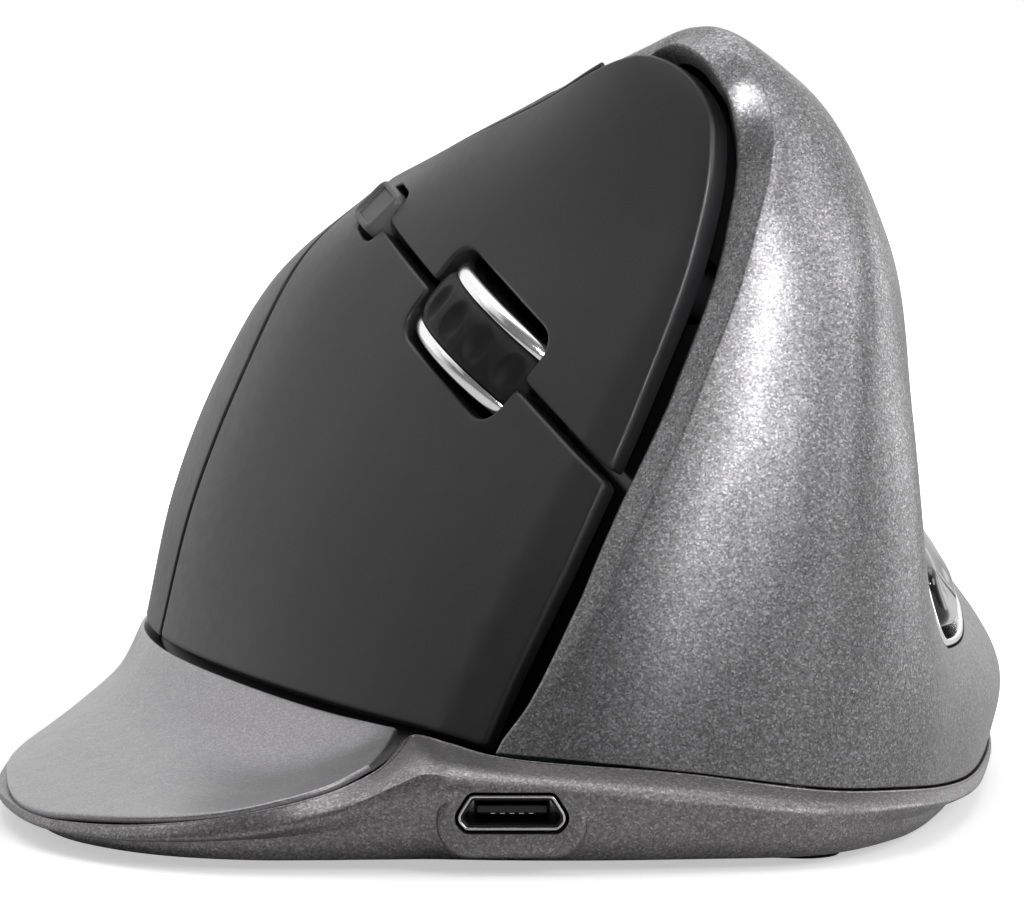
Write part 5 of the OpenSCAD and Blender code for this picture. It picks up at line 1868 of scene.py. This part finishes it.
class Hidden:
    """Nodes that stay as they are, with their finishes."""

    finishes = {
        Finish.FRAME: ("inner_frame", "thumb_carrier", "wheel_hub"),
        Finish.STEEL: ("hinge_pin", "thumb_pin", "button_board_screws", "thumb_screws", "main_board_screws",
                       "middle_switch", "dpi_switch", "forward_switch", "back_switch", "power_switch"),
        Finish.BOARD: ("button_board", "dpi_board", "thumb_board", "main_board"),
        Finish.DARK: ("primary_switch", "secondary_switch", "middle_plunger", "dpi_plunger",
                      "forward_plunger", "back_plunger", "sensor_chip", "power_knob"),
        Finish.INNER: ("wheel_yoke", "wheel_encoder"),
        Finish.WHITE: ("primary_plunger", "secondary_plunger", "battery_plug", "flat_cable"),
        Finish.LENS: ("sensor_lens",),
        Finish.FOIL: ("battery_cell",),
        Finish.WIRE: ("battery_leads",),
    }

    def build(self) -> None:
        """Puts each node's finish on it."""
        for finish, names in self.finishes.items():
            for name in names:
                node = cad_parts[name]
                node.data.materials.clear()
                node.data.materials.append(finish.material())
                log.info("%s keeps its shape", name)


@dataclass
class Studio:
    """Camera, floor, lamps and the white surround."""

    eye: tuple = (0.0, -0.39798, 0.05933)
    tilt: float = 5.0
    focal_px: float = 5150.0
    picture: tuple = (1024, 898)
    sensor: float = 36.0
    bright_side: tuple = (0.2, 1.0, 0.25)
    bright_span: tuple = (-0.3, 0.2)
    dim: float = 0.17
    fill: float = 0.45
    floor_size: float = 3.0
    floor_grey: float = 0.82
    glow_span: tuple = (0.07, 0.22)
    glow_least: float = 0.5
    middle: tuple = (0, 0, 0.03)

    def camera(self) -> None:
        """Sets the camera where the photograph was taken from."""
        data = bpy.data.cameras.new("view")
        data.sensor_width = self.sensor
        data.sensor_fit = "HORIZONTAL"
        data.lens = self.sensor * self.focal_px / self.picture[0]
        data.clip_start = 0.01
        cam = bpy.data.objects.new("view", data)
        cam.location = self.eye
        cam.rotation_euler = (math.radians(90 - self.tilt), 0, 0)
        bpy.context.scene.collection.objects.link(cam)
        bpy.context.scene.camera = cam

    def lamp(self, name: str, place: tuple, aim: tuple, size: float, power: float,
             spread: float = 180) -> None:
        """A square soft lamp that points at a place.

        Args:
            name: name of the lamp.
            place: where it stands.
            aim: where it points.
            size: length of a side.
            power: its power.
            spread: angle of its beam in degrees.
        """
        data = bpy.data.lights.new(name, "AREA")
        data.energy, data.size, data.spread = power, size, math.radians(spread)
        lamp = bpy.data.objects.new(name, data)
        lamp.location = place
        lamp.rotation_euler = (Vector(aim) - Vector(place)).to_track_quat("-Z", "Y").to_euler()
        bpy.context.scene.collection.objects.link(lamp)

    def floor(self) -> None:
        """A pale floor that keeps the shadow and looks white to the camera."""
        size = self.floor_size
        data = bpy.data.meshes.new("floor")
        corners = [(-size, -size, 0), (size, -size, 0), (size, size, 0), (-size, size, 0)]
        data.from_pydata(corners, [], [(0, 1, 2, 3)])
        obj = bpy.data.objects.new("floor", data)
        bpy.context.scene.collection.objects.link(obj)
        g = Graph("floor_pale")
        g.set(Base_Color=(*[self.floor_grey] * 3, 1), Roughness=0.9, Specular_IOR_Level=0.1)
        ray = g.add("ShaderNodeLightPath")
        glow = g.add("ShaderNodeEmission", Color=(1, 1, 1, 1))
        far = g.add("ShaderNodeVectorMath")
        far.operation = "LENGTH"
        g.link(g.place, far.inputs[0])
        near, away = self.glow_span
        rise = g.add("ShaderNodeMapRange", From_Min=near, From_Max=away, To_Min=self.glow_least, To_Max=1.0)
        g.link(far.outputs["Value"], rise.inputs["Value"])
        seen = g.add("ShaderNodeMath")
        seen.operation = "MULTIPLY"
        g.link(ray.outputs["Is Camera Ray"], seen.inputs[0])
        g.link(rise.outputs["Result"], seen.inputs[1])
        g.link(seen.outputs[0], glow.inputs["Strength"])
        both = g.add("ShaderNodeAddShader")
        g.link(g.shader.outputs[0], both.inputs[0])
        g.link(glow.outputs[0], both.inputs[1])
        out = next(n for n in g.tree.nodes if n.bl_idname == "ShaderNodeOutputMaterial")
        g.link(both.outputs[0], out.inputs["Surface"])
        data.materials.append(g.material)

    def surround(self) -> None:
        """White behind the mouse, fading to a dim room behind the camera."""
        world = bpy.data.worlds.new("surround")
        world.use_nodes = True
        bpy.context.scene.world = world
        tree = world.node_tree
        tree.nodes.clear()
        new, join = tree.nodes.new, tree.links.new
        out, back = new("ShaderNodeOutputWorld"), new("ShaderNodeBackground")
        ray, place = new("ShaderNodeLightPath"), new("ShaderNodeTexCoord")
        towards = new("ShaderNodeVectorMath")
        towards.operation = "DOT_PRODUCT"
        towards.inputs[1].default_value = self.bright_side
        join(place.outputs["Generated"], towards.inputs[0])
        ramp = new("ShaderNodeValToRGB")
        for stop, grey in zip(ramp.color_ramp.elements, (self.dim, 1)):
            stop.color = (grey, grey, grey, 1)
        span = new("ShaderNodeMapRange")
        span.inputs["From Min"].default_value, span.inputs["From Max"].default_value = self.bright_span
        join(towards.outputs["Value"], span.inputs["Value"])
        join(span.outputs["Result"], ramp.inputs["Fac"])
        join(ramp.outputs["Color"], back.inputs["Color"])
        seen, through, level = new("ShaderNodeMath"), new("ShaderNodeMath"), new("ShaderNodeMapRange")
        for node in (seen, through):
            node.operation = "MAXIMUM"
        join(ray.outputs["Is Camera Ray"], seen.inputs[0])
        join(ray.outputs["Is Glossy Ray"], seen.inputs[1])
        join(seen.outputs[0], through.inputs[0])
        join(ray.outputs["Is Transmission Ray"], through.inputs[1])
        join(through.outputs[0], level.inputs["Value"])
        level.inputs["To Min"].default_value, level.inputs["To Max"].default_value = self.fill, 1.0
        join(level.outputs["Result"], back.inputs["Strength"])
        join(back.outputs[0], out.inputs["Surface"])

    def build(self) -> None:
        """Sets up the studio."""
        self.camera()
        self.floor()
        self.surround()
        self.lamp("top_soft", (0.0, 0.1, 0.8), self.middle, 0.7, 2.3)
        self.lamp("left_soft", (-0.6, -0.2, 0.6), self.middle, 0.5, 0.3)
        self.lamp("right_soft", (0.55, -0.52, 0.46), self.middle, 0.4, 2.2)
        self.lamp("front_key", (0.02, -0.275, 0.14), (0.02, -0.04, 0.064), 0.03, 0.01, 22)
        self.lamp("right_rim", (0.8, 0.27, 0.14), self.middle, 0.5, 1.6)
        bpy.context.scene.view_settings.view_transform = "Standard"


def main() -> None:
    """Builds every sub-assembly."""
    logging.basicConfig(level=logging.INFO, format="%(name)s: %(message)s")
    for part in (Studio(), FingerPanel(), OuterSkins(), Leaf(), Base(), Socket(), Wheel(),
                 SensitivityButton(), Hidden()):
        log.info("building %s", type(part).__name__)
        part.build()


if __name__ == "__main__":
    main()
